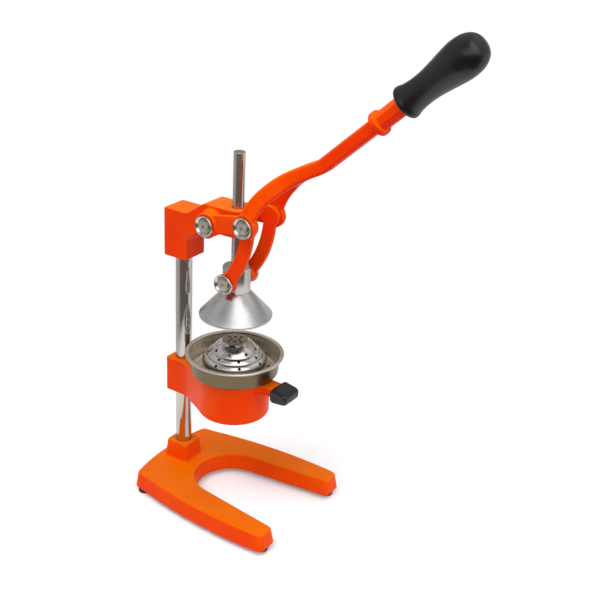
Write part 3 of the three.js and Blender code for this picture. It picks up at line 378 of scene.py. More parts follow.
def base_ribs(roof):
    """Ribs and bosses under the plate, which the hollow leaves standing."""
    foot, reach = UNDERSIDE_Z + RIB_RISE, BASE_HALF + 1.2
    ribs = [block((x - RIB_HALF, -reach, foot), (x + RIB_HALF, reach, BASE_TOP_Z))
            for x in RIB_PLACES]
    ribs.append(block((-REAR_REACH, -RIB_HALF, foot),
                      (PRESS_X - GLASS_GAP, RIB_HALF, BASE_TOP_Z)))
    ribs += [bar("z", FOOT_BOSS, UNDERSIDE_Z - 2, BASE_TOP_Z, place, 32)
             for place in FOOT_PLACES]
    ribs.append(bar("z", COLUMN_BOSS, roof - 3, BASE_TOP_Z, sides=48))
    return ribs


def make_base():
    roof, foot = BASE_TOP_Z - BASE_WALL, UNDERSIDE_Z - OVER
    levels = [(0, UNDERSIDE_Z), *arc((BASE_DRAFT, BASE_TOP_Z - BASE_EDGE), BASE_EDGE, 180, 90, 4)]
    body = lofted("base", [level(base_plan(inset), z) for inset, z in levels])
    hollow_levels = [(BASE_WALL, foot), (BASE_WALL, UNDERSIDE_Z), (BASE_DRAFT + BASE_WALL, roof)]
    hollow = lofted("hollow", [level(base_plan(inset), z) for inset, z in hollow_levels])
    cut(body, cut(hollow, *base_ribs(roof)))
    rings = [(half, BASE_TOP_Z + rise) for half, rise in PEDESTAL_FLARE]
    centre = (PEDESTAL_HALF - PEDESTAL_EDGE, PEDESTAL_TOP_Z - PEDESTAL_EDGE)
    rings += arc(centre, PEDESTAL_EDGE, 0, 90, 4)
    pedestal = lofted("pedestal", [
        level(rounded_box(-half, half, -half, half, PEDESTAL_ROUND), z) for half, z in rings])
    cast("base_casting_skin", together(body, pedestal), 1.25, 4)
    cutters = [
        bar("z", COLUMN_BORE, COLUMN_FOOT_Z - GAP, PEDESTAL_TOP_Z + OVER, sides=96),
        bar("z", BOLT_BORE, UNDERSIDE_Z, PEDESTAL_TOP_Z, sides=32),
        bar("z", BOSS_RECESS, foot, roof - 3, sides=48),
    ]
    cutters += [bar("z", FOOT_BORE, foot, UNDERSIDE_Z + FOOT_BORE_DEPTH, place, 24)
                for place in FOOT_PLACES]
    return cut(body, *cutters)


def make_foot(place):
    profile = [(4, 0), (8.1, 0), *arc((8, 0.9), 0.9, -80, -10, 5), (9, 5.3), (8.7, 5.9),
               (FOOT_BORE, 5.9), (FOOT_BORE, 3), (4, 3)]
    return spun("foot", profile, moved(*place), 64)


# Cup holder
CLAMP_HALF, CLAMP_CORNER = 17.25, 3
CLAMP_FOOT_Z, CLAMP_TOP_Z = RING_FOOT_Z + 2, RING_FOOT_Z + 51.5
WEB_ANGLE, WEB_ROUND = radians(118), 40
RING_FOOT_ROUND, RING_TOP_ROUND, RING_BORE = 3, 1.5, 43.5
TANG_LENGTH, TANG_HALF_WIDTH, TANG_HALF_THICK = 16, 8, 3.5
# Places of the lug's sections along X and their half widths
LUG_SECTIONS = [(PRESS_X, 21), (PRESS_X + 46.5, 17), (PRESS_X + 50, 14.3), (PRESS_X + 54, 12.7),
                (PRESS_X + 59, 12), (LUG_END_X - GAP, 12)]


def holder_plan():
    """Plan of the clamp block and the web that runs out to touch the ring on both sides."""
    touch_x = PRESS_X + RING_RADIUS * cos(WEB_ANGLE)
    touch_y = RING_RADIUS * sin(WEB_ANGLE)
    bend_x = touch_x - (touch_y - CLAMP_HALF) / tan(WEB_ANGLE - pi / 2)
    half = [(-CLAMP_HALF, CLAMP_HALF, CLAMP_CORNER), (bend_x, CLAMP_HALF, WEB_ROUND),
            (touch_x, touch_y, 0)]
    return rounded([(x, -y, radius) for x, y, radius in half] + half[::-1], 12)


def tang_block(play):
    """The tang inside the small grip, or with some play the slot for it."""
    z, reach, thick = RING_TOP_Z - LUG_THICK / 2, TANG_HALF_WIDTH + play, TANG_HALF_THICK + play
    return block((LUG_END_X - OVER, -reach, z - thick),
                 (LUG_END_X + TANG_LENGTH + play, reach, z + thick))


def make_holder():
    body = plate(holder_plan(), CLAMP_FOOT_Z, CLAMP_TOP_Z)
    foot, top = RING_FOOT_ROUND, RING_TOP_ROUND
    profile = [(0, RING_FOOT_Z), *arc((RING_RADIUS - foot, RING_FOOT_Z + foot), foot, -90, 0, 6),
               *arc((RING_RADIUS - top, RING_TOP_Z - top), top, 0, 90, 4), (0, RING_TOP_Z)]
    ring = spun("ring", profile, PRESS_AXIS)
    lug = lofted("lug", [
        [(x, y, z) for y, z in
         rounded_box(-half, half, RING_TOP_Z - LUG_THICK, RING_TOP_Z - 0.3, 3)]
        for x, half in LUG_SECTIONS])
    boolean(body, "UNION", [ring, lug, tang_block(0)])
    cut(body, bar("z", RING_BORE, RING_FOOT_Z - OVER, RING_TOP_Z + OVER, (PRESS_X, 0), 144))
    cast("cup_holder_skin", body, 0.95, 5)
    return cut(body, bar("z", COLUMN_BORE, CLAMP_FOOT_Z - OVER, CLAMP_TOP_Z + OVER, sides=96),
               bar("x", SET_BORE, -20, 0, (0, CLAMP_FOOT_Z + 25), 32))


# Small grip, with its sections across its width: place, how much thinner, how much shorter
GRIP_FRONT_X = LUG_END_X + 25
GRIP_FOOT_Z, GRIP_TOP_Z = RING_TOP_Z - 18.5, RING_TOP_Z + 2.5
GRIP_SECTIONS = [
    (-16.3, 2.2, 2.4), (-15.2, 0.9, 1), (-12.6, 0.1, 0.2), (0, 0, 0), (12.6, 0.1, 0.2),
    (15.2, 0.9, 1), (16.3, 2.2, 2.4)]


def make_holder_grip():
    rings = []
    for y, shrink, short in GRIP_SECTIONS:
        foot, top = GRIP_FOOT_Z + shrink, GRIP_TOP_Z - shrink
        front = GRIP_FRONT_X - short
        outline = rounded([(LUG_END_X, foot, 4.2), (front, foot + 2.2, 5.5),
                           (front, top - 4.4, 5.5), (LUG_END_X, top, 4.2)])
        rings.append(upright(outline, y))
    return cut(cast("holder_grip_skin", lofted("grip", rings), 0.6, 7), tang_block(GAP))


# Juice pan, from its spout up to its rolled rim
PAN_SHEET, PAN_STEP, SPOUT = 1.2, 43.2, 14
PAN_RIM_Z = PAN_FLOOR_Z + 26.1
FUNNEL_Z = PAN_FLOOR_Z - 7
SPOUT_TOP_Z = FUNNEL_Z - 22
SPOUT_FOOT_Z = SPOUT_TOP_Z - 8
RIM_CENTRE, RIM_RADIUS, RIM_SQUEEZE = 62.2, 2.8, 0.68


def make_pan():
    step_inside, spout_inside = PAN_STEP - PAN_SHEET, SPOUT - PAN_SHEET
    outside = [(SPOUT, SPOUT_FOOT_Z), (SPOUT, SPOUT_TOP_Z),
               (PAN_STEP, FUNNEL_Z), (PAN_STEP, PAN_FLOOR_Z),
               *arc((53.6, PAN_FLOOR_Z + 4.4), 4.4, -90, -4, 8), (60.2, PAN_RIM_Z - 3)]
    rim = [(radius, PAN_RIM_Z + rise * RIM_SQUEEZE)
           for radius, rise in arc((RIM_CENTRE, 0), RIM_RADIUS, -75, 200, 18)]
    inside = [(59.2, PAN_RIM_Z - 3), *arc((53.2, PAN_FLOOR_Z + 5), 3.8, -4, -90, 8),
              (step_inside, PAN_FLOOR_Z + PAN_SHEET), (step_inside, FUNNEL_Z + 0.6),
              (spout_inside, SPOUT_TOP_Z + 0.6), (spout_inside, SPOUT_FOOT_Z)]
    return spun("juice_pan_skin", [*outside, *rim, *inside], PRESS_AXIS, 160)


# Strainer dome. Its rows run from the disc down to the skirt: radius on a rib, radius in a scallop
# and height, as shares of the skirt's radius and the dome's height
DOME_RADIUS, DOME_WALL, DOME_FACETS = 43, 0.8, 192
DOME_HEIGHT = DOME_TOP_Z - DOME_FOOT_Z
RIB_ANGLE = radians(-22.5)
DOME_ROWS = [
    (0.375, 0.375, 1.028), (0.394, 0.394, 1.025), (0.404, 0.404, 1.015), (0.402, 0.402, 1.002),
    (0.42, 0.365, 0.988), (0.46, 0.362, 0.965), (0.505, 0.395, 0.935), (0.542, 0.46, 0.905),
    (0.58, 0.535, 0.872), (0.615, 0.595, 0.837), (0.642, 0.635, 0.805), (0.665, 0.664, 0.775),
    (0.688, 0.688, 0.748), (0.706, 0.706, 0.726), (0.717, 0.717, 0.71), (0.72, 0.72, 0.702),
    (0.712, 0.712, 0.696), (0.728, 0.728, 0.69), (0.76, 0.76, 0.676), (0.795, 0.795, 0.652),
    (0.825, 0.825, 0.622), (0.845, 0.845, 0.592), (0.857, 0.857, 0.567), (0.86, 0.86, 0.556),
    (0.852, 0.852, 0.549), (0.865, 0.865, 0.542), (0.895, 0.895, 0.53), (0.928, 0.928, 0.506),
    (0.955, 0.955, 0.474), (0.975, 0.975, 0.436), (0.985, 0.985, 0.4), (0.994, 0.994, 0.2),
    (1, 1, 0.06),
]
DOME_INNER_ROWS = (32, 30, 28, 24, 20, 16, 11, 7)
# The disc's overhanging underside would pierce a wall drawn from its own rows
DOME_INNER_TOP = (0.33, 0.3, 1)
FLANGE_RINGS = [(48, 0), (48.2, 0.6), (47.8, 1.1), (44.5, 1.2)]
FLANGE_BORE = 42.2
# Rows of drain holes: radius and height as shares, tilt in degrees, turn in eighths
HOLE_ROWS = ((0.652, 0.79, 38, 0), (0.795, 0.652, 48, 0.5), (0.94, 0.49, 46, 0.5))
HOLES_IN_ROW, HOLE_RADIUS, PUNCH_REACH = 8, 2, 4
DISC_HOLE, DISC_TURN = 1.95, radians(32.3)
DISC_HOLES = [(x, y) for y in (-6.7, 6.7) for x in (-7.3, 0, 7.3)] + [(-5.1, 0), (5.1, 0)]
NOTCHES, NOTCH_HALF, NOTCH_RISE = 8, 3.5, 3


def dome_ring(rib_share, scallop_share, height_share, wall=0.0):
    ring = []
    for step in range(DOME_FACETS):
        turn = tau * step / DOME_FACETS
        rib = abs(cos(2 * (turn - RIB_ANGLE))) ** 3
        radius = DOME_RADIUS * mix(scallop_share, rib_share, rib) - wall
        rise = DOME_HEIGHT * height_share - wall
        ring.append((PRESS_X + radius * cos(turn), radius * sin(turn),
                     DOME_FOOT_Z + rise))
    return ring


def dome_punches():
    """Round punches for the drain holes, and square ones for the notches at the foot."""
    for share, rise, tilt, turn in HOLE_ROWS:
        place = Vector((DOME_RADIUS * share, 0, DOME_FOOT_Z + DOME_HEIGHT * rise)) * MM
        aim = Matrix.Translation(place) @ Matrix.Rotation(radians(90 - tilt), 4, "Y")
        for hole in range(HOLES_IN_ROW):
            way = Matrix.Rotation(RIB_ANGLE + tau * (hole + turn) / HOLES_IN_ROW, 4, "Z")
            yield peg("punch", 20, HOLE_RADIUS, -PUNCH_REACH, PUNCH_REACH, PRESS_AXIS @ way @ aim)
    for place in DISC_HOLES:
        x, y = Matrix.Rotation(DISC_TURN, 2) @ Vector(place)
        yield bar("z", DISC_HOLE, DOME_TOP_Z - 5, DOME_TOP_Z + 3, (PRESS_X + x, y), 20)
    for notch in range(NOTCHES):
        opening = block((PRESS_X + 38, -NOTCH_HALF, DOME_FOOT_Z - OVER),
                        (PRESS_X + 49, NOTCH_HALF, DOME_FOOT_Z + NOTCH_RISE))
        turn = Matrix.Rotation(tau * notch / NOTCHES, 4, "Z")
        opening.data.transform(PRESS_AXIS @ turn @ PRESS_AXIS.inverted())
        yield opening


def make_dome():
    def flange(radius, rise):
        return circle("z", radius, DOME_FOOT_Z + rise, (PRESS_X, 0), DOME_FACETS)
    outside = [flange(*ring) for ring in FLANGE_RINGS]
    outside += [dome_ring(*row) for row in reversed(DOME_ROWS)]
    inside = [flange(FLANGE_BORE, -OVER), flange(FLANGE_BORE, 0)]
    inside += [dome_ring(*DOME_ROWS[row], wall=DOME_WALL) for row in DOME_INNER_ROWS]
    inside.append(dome_ring(*DOME_INNER_TOP, wall=DOME_WALL))
    dome = cut(lofted("strainer_dome_skin", outside), lofted("dome_inside", inside))
    return cut(dome, together(*dome_punches()))


# Head bracket
HEAD_HALF, HEAD_ROUND, HEAD_EDGE = 18.8, 10, 2.5
HEAD_TOP_Z, HEAD_STEP_Z = HEAD_FOOT_Z + 65.6, HEAD_FOOT_Z + 30.7
ARM_FOOT_Z = HEAD_FOOT_Z + 49.7
ARM_TOP_Z = ARM_FOOT_Z + 35.1
RAMP_X, NOSE_X = HEAD_HALF + 27.2, PRESS_X + HEAD_HALF
# The cross boss on one side: distance from the middle plane, radius and lift of its centre
BOSS_FLARE = [(26.9, 16.5, 0), (21.8, 16.5, 0), (19.6, 17.2, 0.9), (17.8, 18, 2.6)]
FULCRUM_BORE_DEPTH = 14 + GAP
BUSH_RADIUS, BUSH_TOP_Z, ROD_BORE = 10.3, ARM_TOP_Z - 2.7, 8.2
HEAD_SCREW_RISES = (15.7, 48.7)


def head_outline():
    return rounded([
        (-HEAD_HALF, HEAD_FOOT_Z, HEAD_EDGE), (HEAD_HALF, HEAD_FOOT_Z, HEAD_EDGE),
        (HEAD_HALF, HEAD_STEP_Z, HEAD_ROUND), (RAMP_X, ARM_FOOT_Z, HEAD_ROUND),
        (NOSE_X, ARM_FOOT_Z, HEAD_EDGE), (NOSE_X, ARM_TOP_Z, HEAD_EDGE),
        (RAMP_X, ARM_TOP_Z, HEAD_ROUND), (HEAD_HALF, HEAD_TOP_Z, HEAD_ROUND),
        (-HEAD_HALF, HEAD_TOP_Z, HEAD_EDGE)])


def make_head():
    body = side_plate(head_outline(), -HEAD_HALF, HEAD_HALF)
    plan = rounded([(-HEAD_HALF, -HEAD_HALF, HEAD_EDGE), (NOSE_X, -HEAD_HALF, HEAD_HALF),
                    (NOSE_X, HEAD_HALF, HEAD_HALF), (-HEAD_HALF, HEAD_HALF, HEAD_EDGE)], 18)
    boolean(body, "INTERSECT", [plate(plan, HEAD_FOOT_Z - OVER, ARM_TOP_Z + OVER)])
    stations = [(-y, radius, lift) for y, radius, lift in BOSS_FLARE] + BOSS_FLARE[::-1]
    boss = lofted("boss", [circle("y", radius, y, FULCRUM + Vector((0, lift)), 96)
                           for y, radius, lift in stations])
    cast("head_bracket_skin", together(body, boss), 0.85, 5)
    boss_face = BOSS_FLARE[0][0]
    cutters = [
        bar("z", COLUMN_BORE, HEAD_FOOT_Z - OVER, COLUMN_TOP_Z + GAP, sides=96),
        bar("z", BUSH_RADIUS, ARM_FOOT_Z - OVER, BUSH_TOP_Z, (PRESS_X, 0), 64),
        bar("z", ROD_BORE, ARM_FOOT_Z, ARM_TOP_Z + OVER, (PRESS_X, 0), 96),
    ]
    cutters += [bar("x", SET_BORE, -20, 0, (0, HEAD_FOOT_Z + rise), 32)
                for rise in HEAD_SCREW_RISES]
    cutters += [bar("y", 4.3, *across(side, boss_face - FULCRUM_BORE_DEPTH, 28), FULCRUM, 32)
                for side in SIDES.values()]
    return cut(body, *cutters)


# Column, slide rod, neck and cone
NECK_RADIUS, NECK_TOP_Z, NECK_FLAT = 18, NECK_FOOT_Z + 33.5, 15
SLOT_HALF_LENGTH, SLOT_HALF_HEIGHT, SLOT_ROUND, SLOT_FLOOR = 8.8, 5.5, 3.5, 8.6
CONE_RADIUS, CONE_TOP_RADIUS, CONE_DROP, CONE_SHEET = 47.5, 18, 32.7, 3
CONE_PLATE = 5


def make_column():
    inner = COLUMN_RADIUS - 2
    profile = [(inner, COLUMN_FOOT_Z), (COLUMN_RADIUS, COLUMN_FOOT_Z),
               (COLUMN_RADIUS, COLUMN_TOP_Z), (inner, COLUMN_TOP_Z)]
    return soften(spun("column_tube_skin", profile, moved(0), 128), 0.3)


def make_rod():
    foot, top = ROD_FOOT_Z, ROD_TOP_Z
    profile = [(0, foot), (7.4, foot), (7.4, top - 1), (7.2, top - 0.35), (6.8, top - 0.05),
               (6.4, top), (0, top)]
    rod = spun("slide_rod_skin", profile, PRESS_AXIS, 96)
    return cut(rod, bar("z", CONE_BORE, foot - OVER, foot + 18.3, (PRESS_X, 0), 32))


def make_neck():
    foot, top = NECK_FOOT_Z, NECK_TOP_Z
    profile = [(CONE_BORE, foot), (NECK_RADIUS, foot), (NECK_RADIUS, top - 1.5),
               (NECK_RADIUS - 0.4, top - 0.45), (NECK_RADIUS - 1.5, top), (7.7, top),
               (7.7, foot + 3), (CONE_BORE, foot + 3)]
    neck = spun("press_neck_skin", profile, PRESS_AXIS, 128)
    flats = block((PRESS_X - 19, -NECK_FLAT, foot - OVER),
                  (PRESS_X + 19, NECK_FLAT, top + OVER))
    boolean(neck, "INTERSECT", [flats])
    x, z = PRESS_X, PRESS_PIVOT.y
    slot = rounded_box(x - SLOT_HALF_LENGTH, x + SLOT_HALF_LENGTH, z - SLOT_HALF_HEIGHT,
                       z + SLOT_HALF_HEIGHT, SLOT_ROUND)
    cut(neck, *[side_plate(slot, *across(side, SLOT_FLOOR, 16)) for side in SIDES.values()])
    return soften(neck, 0.35)


def make_cone():
    top, rim = CONE_TOP_Z, CONE_TOP_Z - CONE_DROP
    fall = CONE_DROP / (CONE_RADIUS - CONE_TOP_RADIUS)
    inner_top = top - CONE_SHEET * hypot(1, fall)
    inner_rim = CONE_RADIUS - CONE_SHEET
    plate_foot, lip = top - CONE_PLATE, rim - 2.5
    profile = [(CONE_BORE, top), (CONE_BORE, plate_foot),
               (CONE_TOP_RADIUS + (inner_top - plate_foot) / fall, plate_foot),
               (inner_rim, inner_top - fall * (inner_rim - CONE_TOP_RADIUS)),
               (inner_rim, lip + 0.3), (44.8, lip), (45.2, lip), (46.7, lip), (47.1, lip + 0.3),
               (47.35, lip + 1.2), (47.42, rim), (47.3, rim + 0.35), (18.3, top - 0.3), (17.9, top)]
    return spun("press_cone_skin", profile, PRESS_AXIS, 192)


# Lever: each station of the bend from the crank to the kink is run, rise, half width, outer face
# and inner face, as shares of the bend and of the tine's sizes at the crank
KINK = CRANK + Vector((87, 88.2))
ARM_ANGLE = radians(43)
ARM_DIRECTION = Vector((cos(ARM_ANGLE), sin(ARM_ANGLE)))
ARM_PLACE = moved(KINK.x, 0, KINK.y) @ Matrix.Rotation(pi / 2 - ARM_ANGLE, 4, "Y")
EYE_RADIUS, EYE_INNER, EYE_OUTER, TINE_HALF, PIVOT_HOLE = 16.5, 27.2, 34.2, 11, 8
BEND = [
    (0, 0, 1, 1, 1), (0.063, 0.188, 0.98, 0.982, 0.998), (0.184, 0.387, 0.94, 0.906, 0.864),
    (0.317, 0.54, 0.93, 0.79, 0.68), (0.443, 0.662, 0.91, 0.637, 0.44),
    (0.563, 0.755, 0.87, 0.497, 0.184), (0.699, 0.839, 0.83, 0.4, 0.04),
    (0.854, 0.926, 0.8, 0.327, 0), (1, 1, 0.782, 0.263, 0),
]
# Shares of the bend at which the tines end and the arm starts and ends
TINE_END, ARM_START, ARM_END = 0.76, 0.6, 0.97
STRAIGHT_STATIONS, ARM_HALF, ARM_HALF_THICK = (4, 20, 40, 60, 80, 96), 8.6, 9
COLLAR = [(0, 90.3), (14.2, 90.3), (15, 91.2), (15, 97.4), (14.2, 98.3), (0, 98.3)]
HANDLE_START, HANDLE_FLATS = 94.3, 22
GRIP_AT, GRIP_TANG, TANG_FLATS = 135, 60, 15


def bend_station(share):
    """Place, slope, half width, inner and outer face of the lever at a share of its bend."""
    reach = KINK - CRANK
    knots = [Vector((run * reach.x, rise * reach.y, TINE_HALF * width, EYE_OUTER * outer,
                     EYE_INNER * inner)) for run, rise, width, outer, inner in BEND]
    x, z, half, outer, inner = spline(knots, share)
    ahead = spline(knots, min(share + 0.01, 1)) - spline(knots, max(share - 0.01, 0))
    slope = atan2(ahead[1], ahead[0])
    return CRANK.x + x, CRANK.y + z, slope, half, max(inner, 0), outer


def lever_ring(x, z, slope, half, low, high):
    outline = rounded_box(-half, half, low, high, 3.6, 6)
    return [(x - sin(slope) * a, y, z + cos(slope) * a) for a, y in outline]


def tine(side):
    rings = []
    for step in range(31):
        x, z, slope, half, inner, outer = bend_station(TINE_END * step / 30)
        rings.append(lever_ring(x, z, slope, half, *across(side, inner, outer)))
    return lofted("tine", rings)


def lever_arm():
    rings = []
    for step in range(20):
        x, z, slope, half, _, outer = bend_station(mix(ARM_START, ARM_END, step / 19))
        rings.append(lever_ring(x, z, slope, half, -outer, outer))
    for along in STRAIGHT_STATIONS:
        place = KINK + ARM_DIRECTION * along
        rings.append(lever_ring(*place, ARM_ANGLE, ARM_HALF, -ARM_HALF_THICK, ARM_HALF_THICK))
    return lofted("arm", rings)


def octagon(across_flats, start, end):
    """An eight-sided bar along the arm."""
    radius = across_flats / 2 / cos(pi / 8)
    return peg("octagon", 8, radius, start, end, ARM_PLACE @ Matrix.Rotation(pi / 8, 4, "Z"))


def pivot_bar(side):
    """The waisted bar between the two eyes on one side."""
    span = (CRANK - FULCRUM).length
    along = (CRANK - FULCRUM).normalized()
    up = Vector((-along.y, along.x))
    outline = rounded([(0, -14, 0), (span / 2, -9, 60), (span, -14, 0), (span, 14, 0),
                       (0, 14, 0)], 16)
    outline = [FULCRUM + along * a + up * b for a, b in outline]
    return side_plate(outline, *across(side, EYE_INNER, 32))


def make_lever():
    parts = [lever_arm(), spun("collar", COLLAR, ARM_PLACE, 96),
             octagon(HANDLE_FLATS, HANDLE_START, GRIP_AT - GAP),
             octagon(TANG_FLATS, HANDLE_START, GRIP_AT + GRIP_TANG)]
    for side in SIDES.values():
        faces = across(side, EYE_INNER, EYE_OUTER)
        parts += [bar("y", EYE_RADIUS, *faces, pivot, 96) for pivot in (FULCRUM, CRANK)]
        parts += [pivot_bar(side), tine(side)]
    body = cast("lever_skin", together(*parts), 0.9, 4)
    bores = [bar("y", PIVOT_HOLE, *across(side, 26, 35.5), pivot, 48)
             for pivot in (FULCRUM, CRANK) for side in SIDES.values()]
    return cut(body, *bores)


# Grip of the lever; its knots are shares of the flange's radius and of the length
GRIP_LENGTH, GRIP_FLANGE, GRIP_EDGE, GRIP_STEPS = 113.6, 19.8, 1.4, 72
GRIP_KNOTS = [(0.99, 0.035), (0.9, 0.09), (0.84, 0.2), (0.855, 0.32), (0.95, 0.46), (1.07, 0.6),
              (1.145, 0.73), (1.06, 0.86), (0.7, 0.96), (0, 1)]


def make_lever_grip():
    knots = [Vector((GRIP_FLANGE * radius, GRIP_AT + GRIP_LENGTH * length))
             for radius, length in GRIP_KNOTS]
    outline = [spline(knots, step / GRIP_STEPS) for step in range(GRIP_STEPS + 1)]
    outline[-1].x = 0
    centre = (GRIP_FLANGE - GRIP_EDGE, GRIP_AT + GRIP_EDGE)
    flange = [(0, GRIP_AT), *arc(centre, GRIP_EDGE, -90, 0, 5)]
    grip = spun("lever_grip_skin", [*flange, *outline], ARM_PLACE, 128)
    return cut(grip, octagon(TANG_FLATS + 0.6, GRIP_AT - OVER, GRIP_AT + GRIP_TANG + GAP))


# Links
LINK_HALF, LINK_BOW, LINK_STEPS = 8.75, 8.5, 32
LINK_INNER, LINK_OUTER, LINK_CRANK_FACE, LINK_PRESS_FACE = 20.3, 26.4, 26.8, 15.3
LINK_CRANK_EYE, LINK_PRESS_EYE = 13.6, 13.2


def make_link(name, side):
    chord = PRESS_PIVOT - CRANK
    forward = Vector((-chord.y, chord.x)).normalized()

    def edge(offset):
        shares = [step / LINK_STEPS for step in range(LINK_STEPS + 1)]
        return [CRANK + chord * share + forward * (4 * LINK_BOW * share * (1 - share) + offset)
                for share in shares]
    parts = [
        side_plate([*edge(LINK_HALF), *reversed(edge(-LINK_HALF))],
                   *across(side, LINK_INNER, LINK_OUTER)),
        bar("y", LINK_CRANK_EYE, *across(side, LINK_INNER, LINK_CRANK_FACE), CRANK, 96),
        bar("y", LINK_PRESS_EYE, *across(side, LINK_PRESS_FACE, LINK_OUTER), PRESS_PIVOT, 96),
    ]
    body = cast(f"link_{name}_skin", together(*parts), 0.62, 4)
    return cut(body, bar("y", 4.3, *across(side, LINK_INNER + 0.8, 28), CRANK, 32),
               bar("y", 5.3, *across(side, LINK_PRESS_FACE - 1.3, 28), PRESS_PIVOT, 32))


# Pivot hardware, made up +Z from the seat of its washer. Each pivot has its place, its seat's
# distance from the middle plane, its bolt's radius and depth, and the body that it rides on
PIVOTS = {
    "fulcrum": (FULCRUM, 34.5, 4, 21.6, "stand"),
    "crank": (CRANK, 34.5, 4, 13.2, "links"),
    "press": (PRESS_PIVOT, 26.7, 3, 17.5, "links"),
}
WASHER_DISH = [(12.6, 0), (13.4, 0.5), (13.5, 1.2), (13.5, 2.7), (13.25, 3.3), (12.8, 3.6),
               (12.35, 3.55), (11.9, 3.2), (9.4, 1.4), (8.9, 0.7)]
BOLT_HEAD = [(7.1, 1), (7.3, 1.2), (7.3, 2.8), (7, 3.25), (6.5, 3.4), (0, 3.4)]
SET_SCREW = [(0, 0), (3.9, 0), (4, 0.2), (4, 4.6), (3.5, 5), (0, 5)]
SET_SCREW_LENGTH = 5
# Radius of a six-sided socket, its floor and a height past its mouth
BOLT_SOCKET, SCREW_SOCKET = (2.5, 1.2, 4.4), (2.3, 2.5, 6)


def make_cup_washer(bolt_radius):
    bore = bolt_radius + GAP
    return spun("washer", [(bore, 0), *WASHER_DISH, (bore, 0.7)], steps=96)


def make_pivot_bolt(radius, reach):
    shank = [(0, -reach), (radius - 0.6, -reach), (radius, 0.6 - reach), (radius, 1)]
    return cut(spun("bolt", shank + BOLT_HEAD, steps=64), peg("socket", 6, *BOLT_SOCKET))


def make_set_screw():
    return cut(spun("screw", SET_SCREW, steps=48), peg("socket", 6, *SCREW_SOCKET))


# Materials
def add_node(tree, kind, inputs=None, **settings):
    """Adds a shader node, sets its options, and sets or links its inputs."""
    made = tree.nodes.new("ShaderNode" + kind)
    for name, value in settings.items():
        setattr(made, name, value)
    fill(tree, made.inputs, inputs or {})
    return made


def fill(tree, sockets, values):
    for name, value in values.items():
        if isinstance(value, bpy.types.NodeSocket):
            tree.links.new(value, sockets[name])
        else:
            sockets[name].default_value = value


def math_node(tree, operation, *values):
    return add_node(tree, "Math", dict(enumerate(values)), operation=operation).outputs[0]


def vector_node(tree, operation, *values):
    return add_node(tree, "VectorMath", dict(enumerate(values)), operation=operation).outputs


def mixed_colour(tree, share, first, second):
    """A blend of two colours, each a constant or a socket."""
    made = add_node(tree, "Mix", data_type="RGBA")
    sockets = {entry.name: entry for entry in made.inputs if entry.enabled}
    fill(tree, sockets, {"Factor": share, "A": first, "B": second})
    return next(entry for entry in made.outputs if entry.enabled)


def mixed_value(tree, share, first, second):
    inputs = {"Factor": share, "A": first, "B": second}
    return add_node(tree, "Mix", inputs).outputs["Result"]


def ramp(tree, factor, stops):
    """A colour ramp from stops of (place, colour or grey level)."""
    made = add_node(tree, "ValToRGB", {"Fac": factor})
    elements = made.color_ramp.elements
    while len(elements) < len(stops):
        elements.new(0.5)
    for element, (place, colour) in zip(elements, stops):
        element.position = place
        element.color = (*colour, 1) if isinstance(colour, tuple) else (colour, colour, colour, 1)
    return made.outputs["Color"]


def noise(tree, vector, scale, detail=2.0, roughness=0.5):
    inputs = {"Vector": vector, "Scale": scale, "Detail": detail, "Roughness": roughness}
    return add_node(tree, "TexNoise", inputs).outputs["Fac"]


def stretch(tree, value, low, high):
    """Spreads the middle of a noise out to a range."""
    inputs = {"Value": value, "From Min": 0.3, "From Max": 0.7, "To Min": low, "To Max": high}
    return add_node(tree, "MapRange", inputs).outputs[0]


def new_group(name, inputs, outputs):
    """A node group on a vector, with named numbers in and named values out."""
    group = bpy.data.node_groups.new(name, "ShaderNodeTree")
    group.interface.new_socket("Vector", in_out="INPUT", socket_type="NodeSocketVector")
    for label, value in inputs.items():
        socket = group.interface.new_socket(label, in_out="INPUT", socket_type="NodeSocketFloat")
        socket.default_value = value
    for label in outputs:
        group.interface.new_socket(label, in_out="OUTPUT", socket_type="NodeSocketFloat")
    given = group.nodes.new("NodeGroupInput").outputs
    return group, given, group.nodes.new("NodeGroupOutput").inputs


def surface_grain_group():
    """A fine grain over a slow waviness, as a height from 0 to 1."""
    group, given, result = new_group("surface_grain", {
        "Grain Scale": 700.0, "Wave Scale": 40.0, "Wave Share": 0.6}, ["Height"])
    grain = noise(group, given["Vector"], given["Grain Scale"], 2)
    wave = noise(group, given["Vector"], given["Wave Scale"], 1)
    group.links.new(mixed_value(group, given["Wave Share"], grain, wave), result["Height"])
    return group


def handling_group():
    """Roughness between a clean and a dull value, with smudges and fine specks."""
    group, given, result = new_group("handling_marks", {
        "Smudge Scale": 30.0, "Clean": 0.15, "Dull": 0.3}, ["Roughness", "Mask"])
    smudge = noise(group, given["Vector"], given["Smudge Scale"], 4, 0.6)
    speck_scale = math_node(group, "MULTIPLY", given["Smudge Scale"], 14.0)
    speck = noise(group, given["Vector"], speck_scale)
    mostly_smudge = math_node(group, "MULTIPLY", smudge, 0.7)
    mask = stretch(group, math_node(group, "MULTIPLY_ADD", speck, 0.3, mostly_smudge), 0, 1)
    rough = mixed_value(group, mask, given["Clean"], given["Dull"])
    group.links.new(rough, result["Roughness"])
    group.links.new(mask, result["Mask"])
    return group


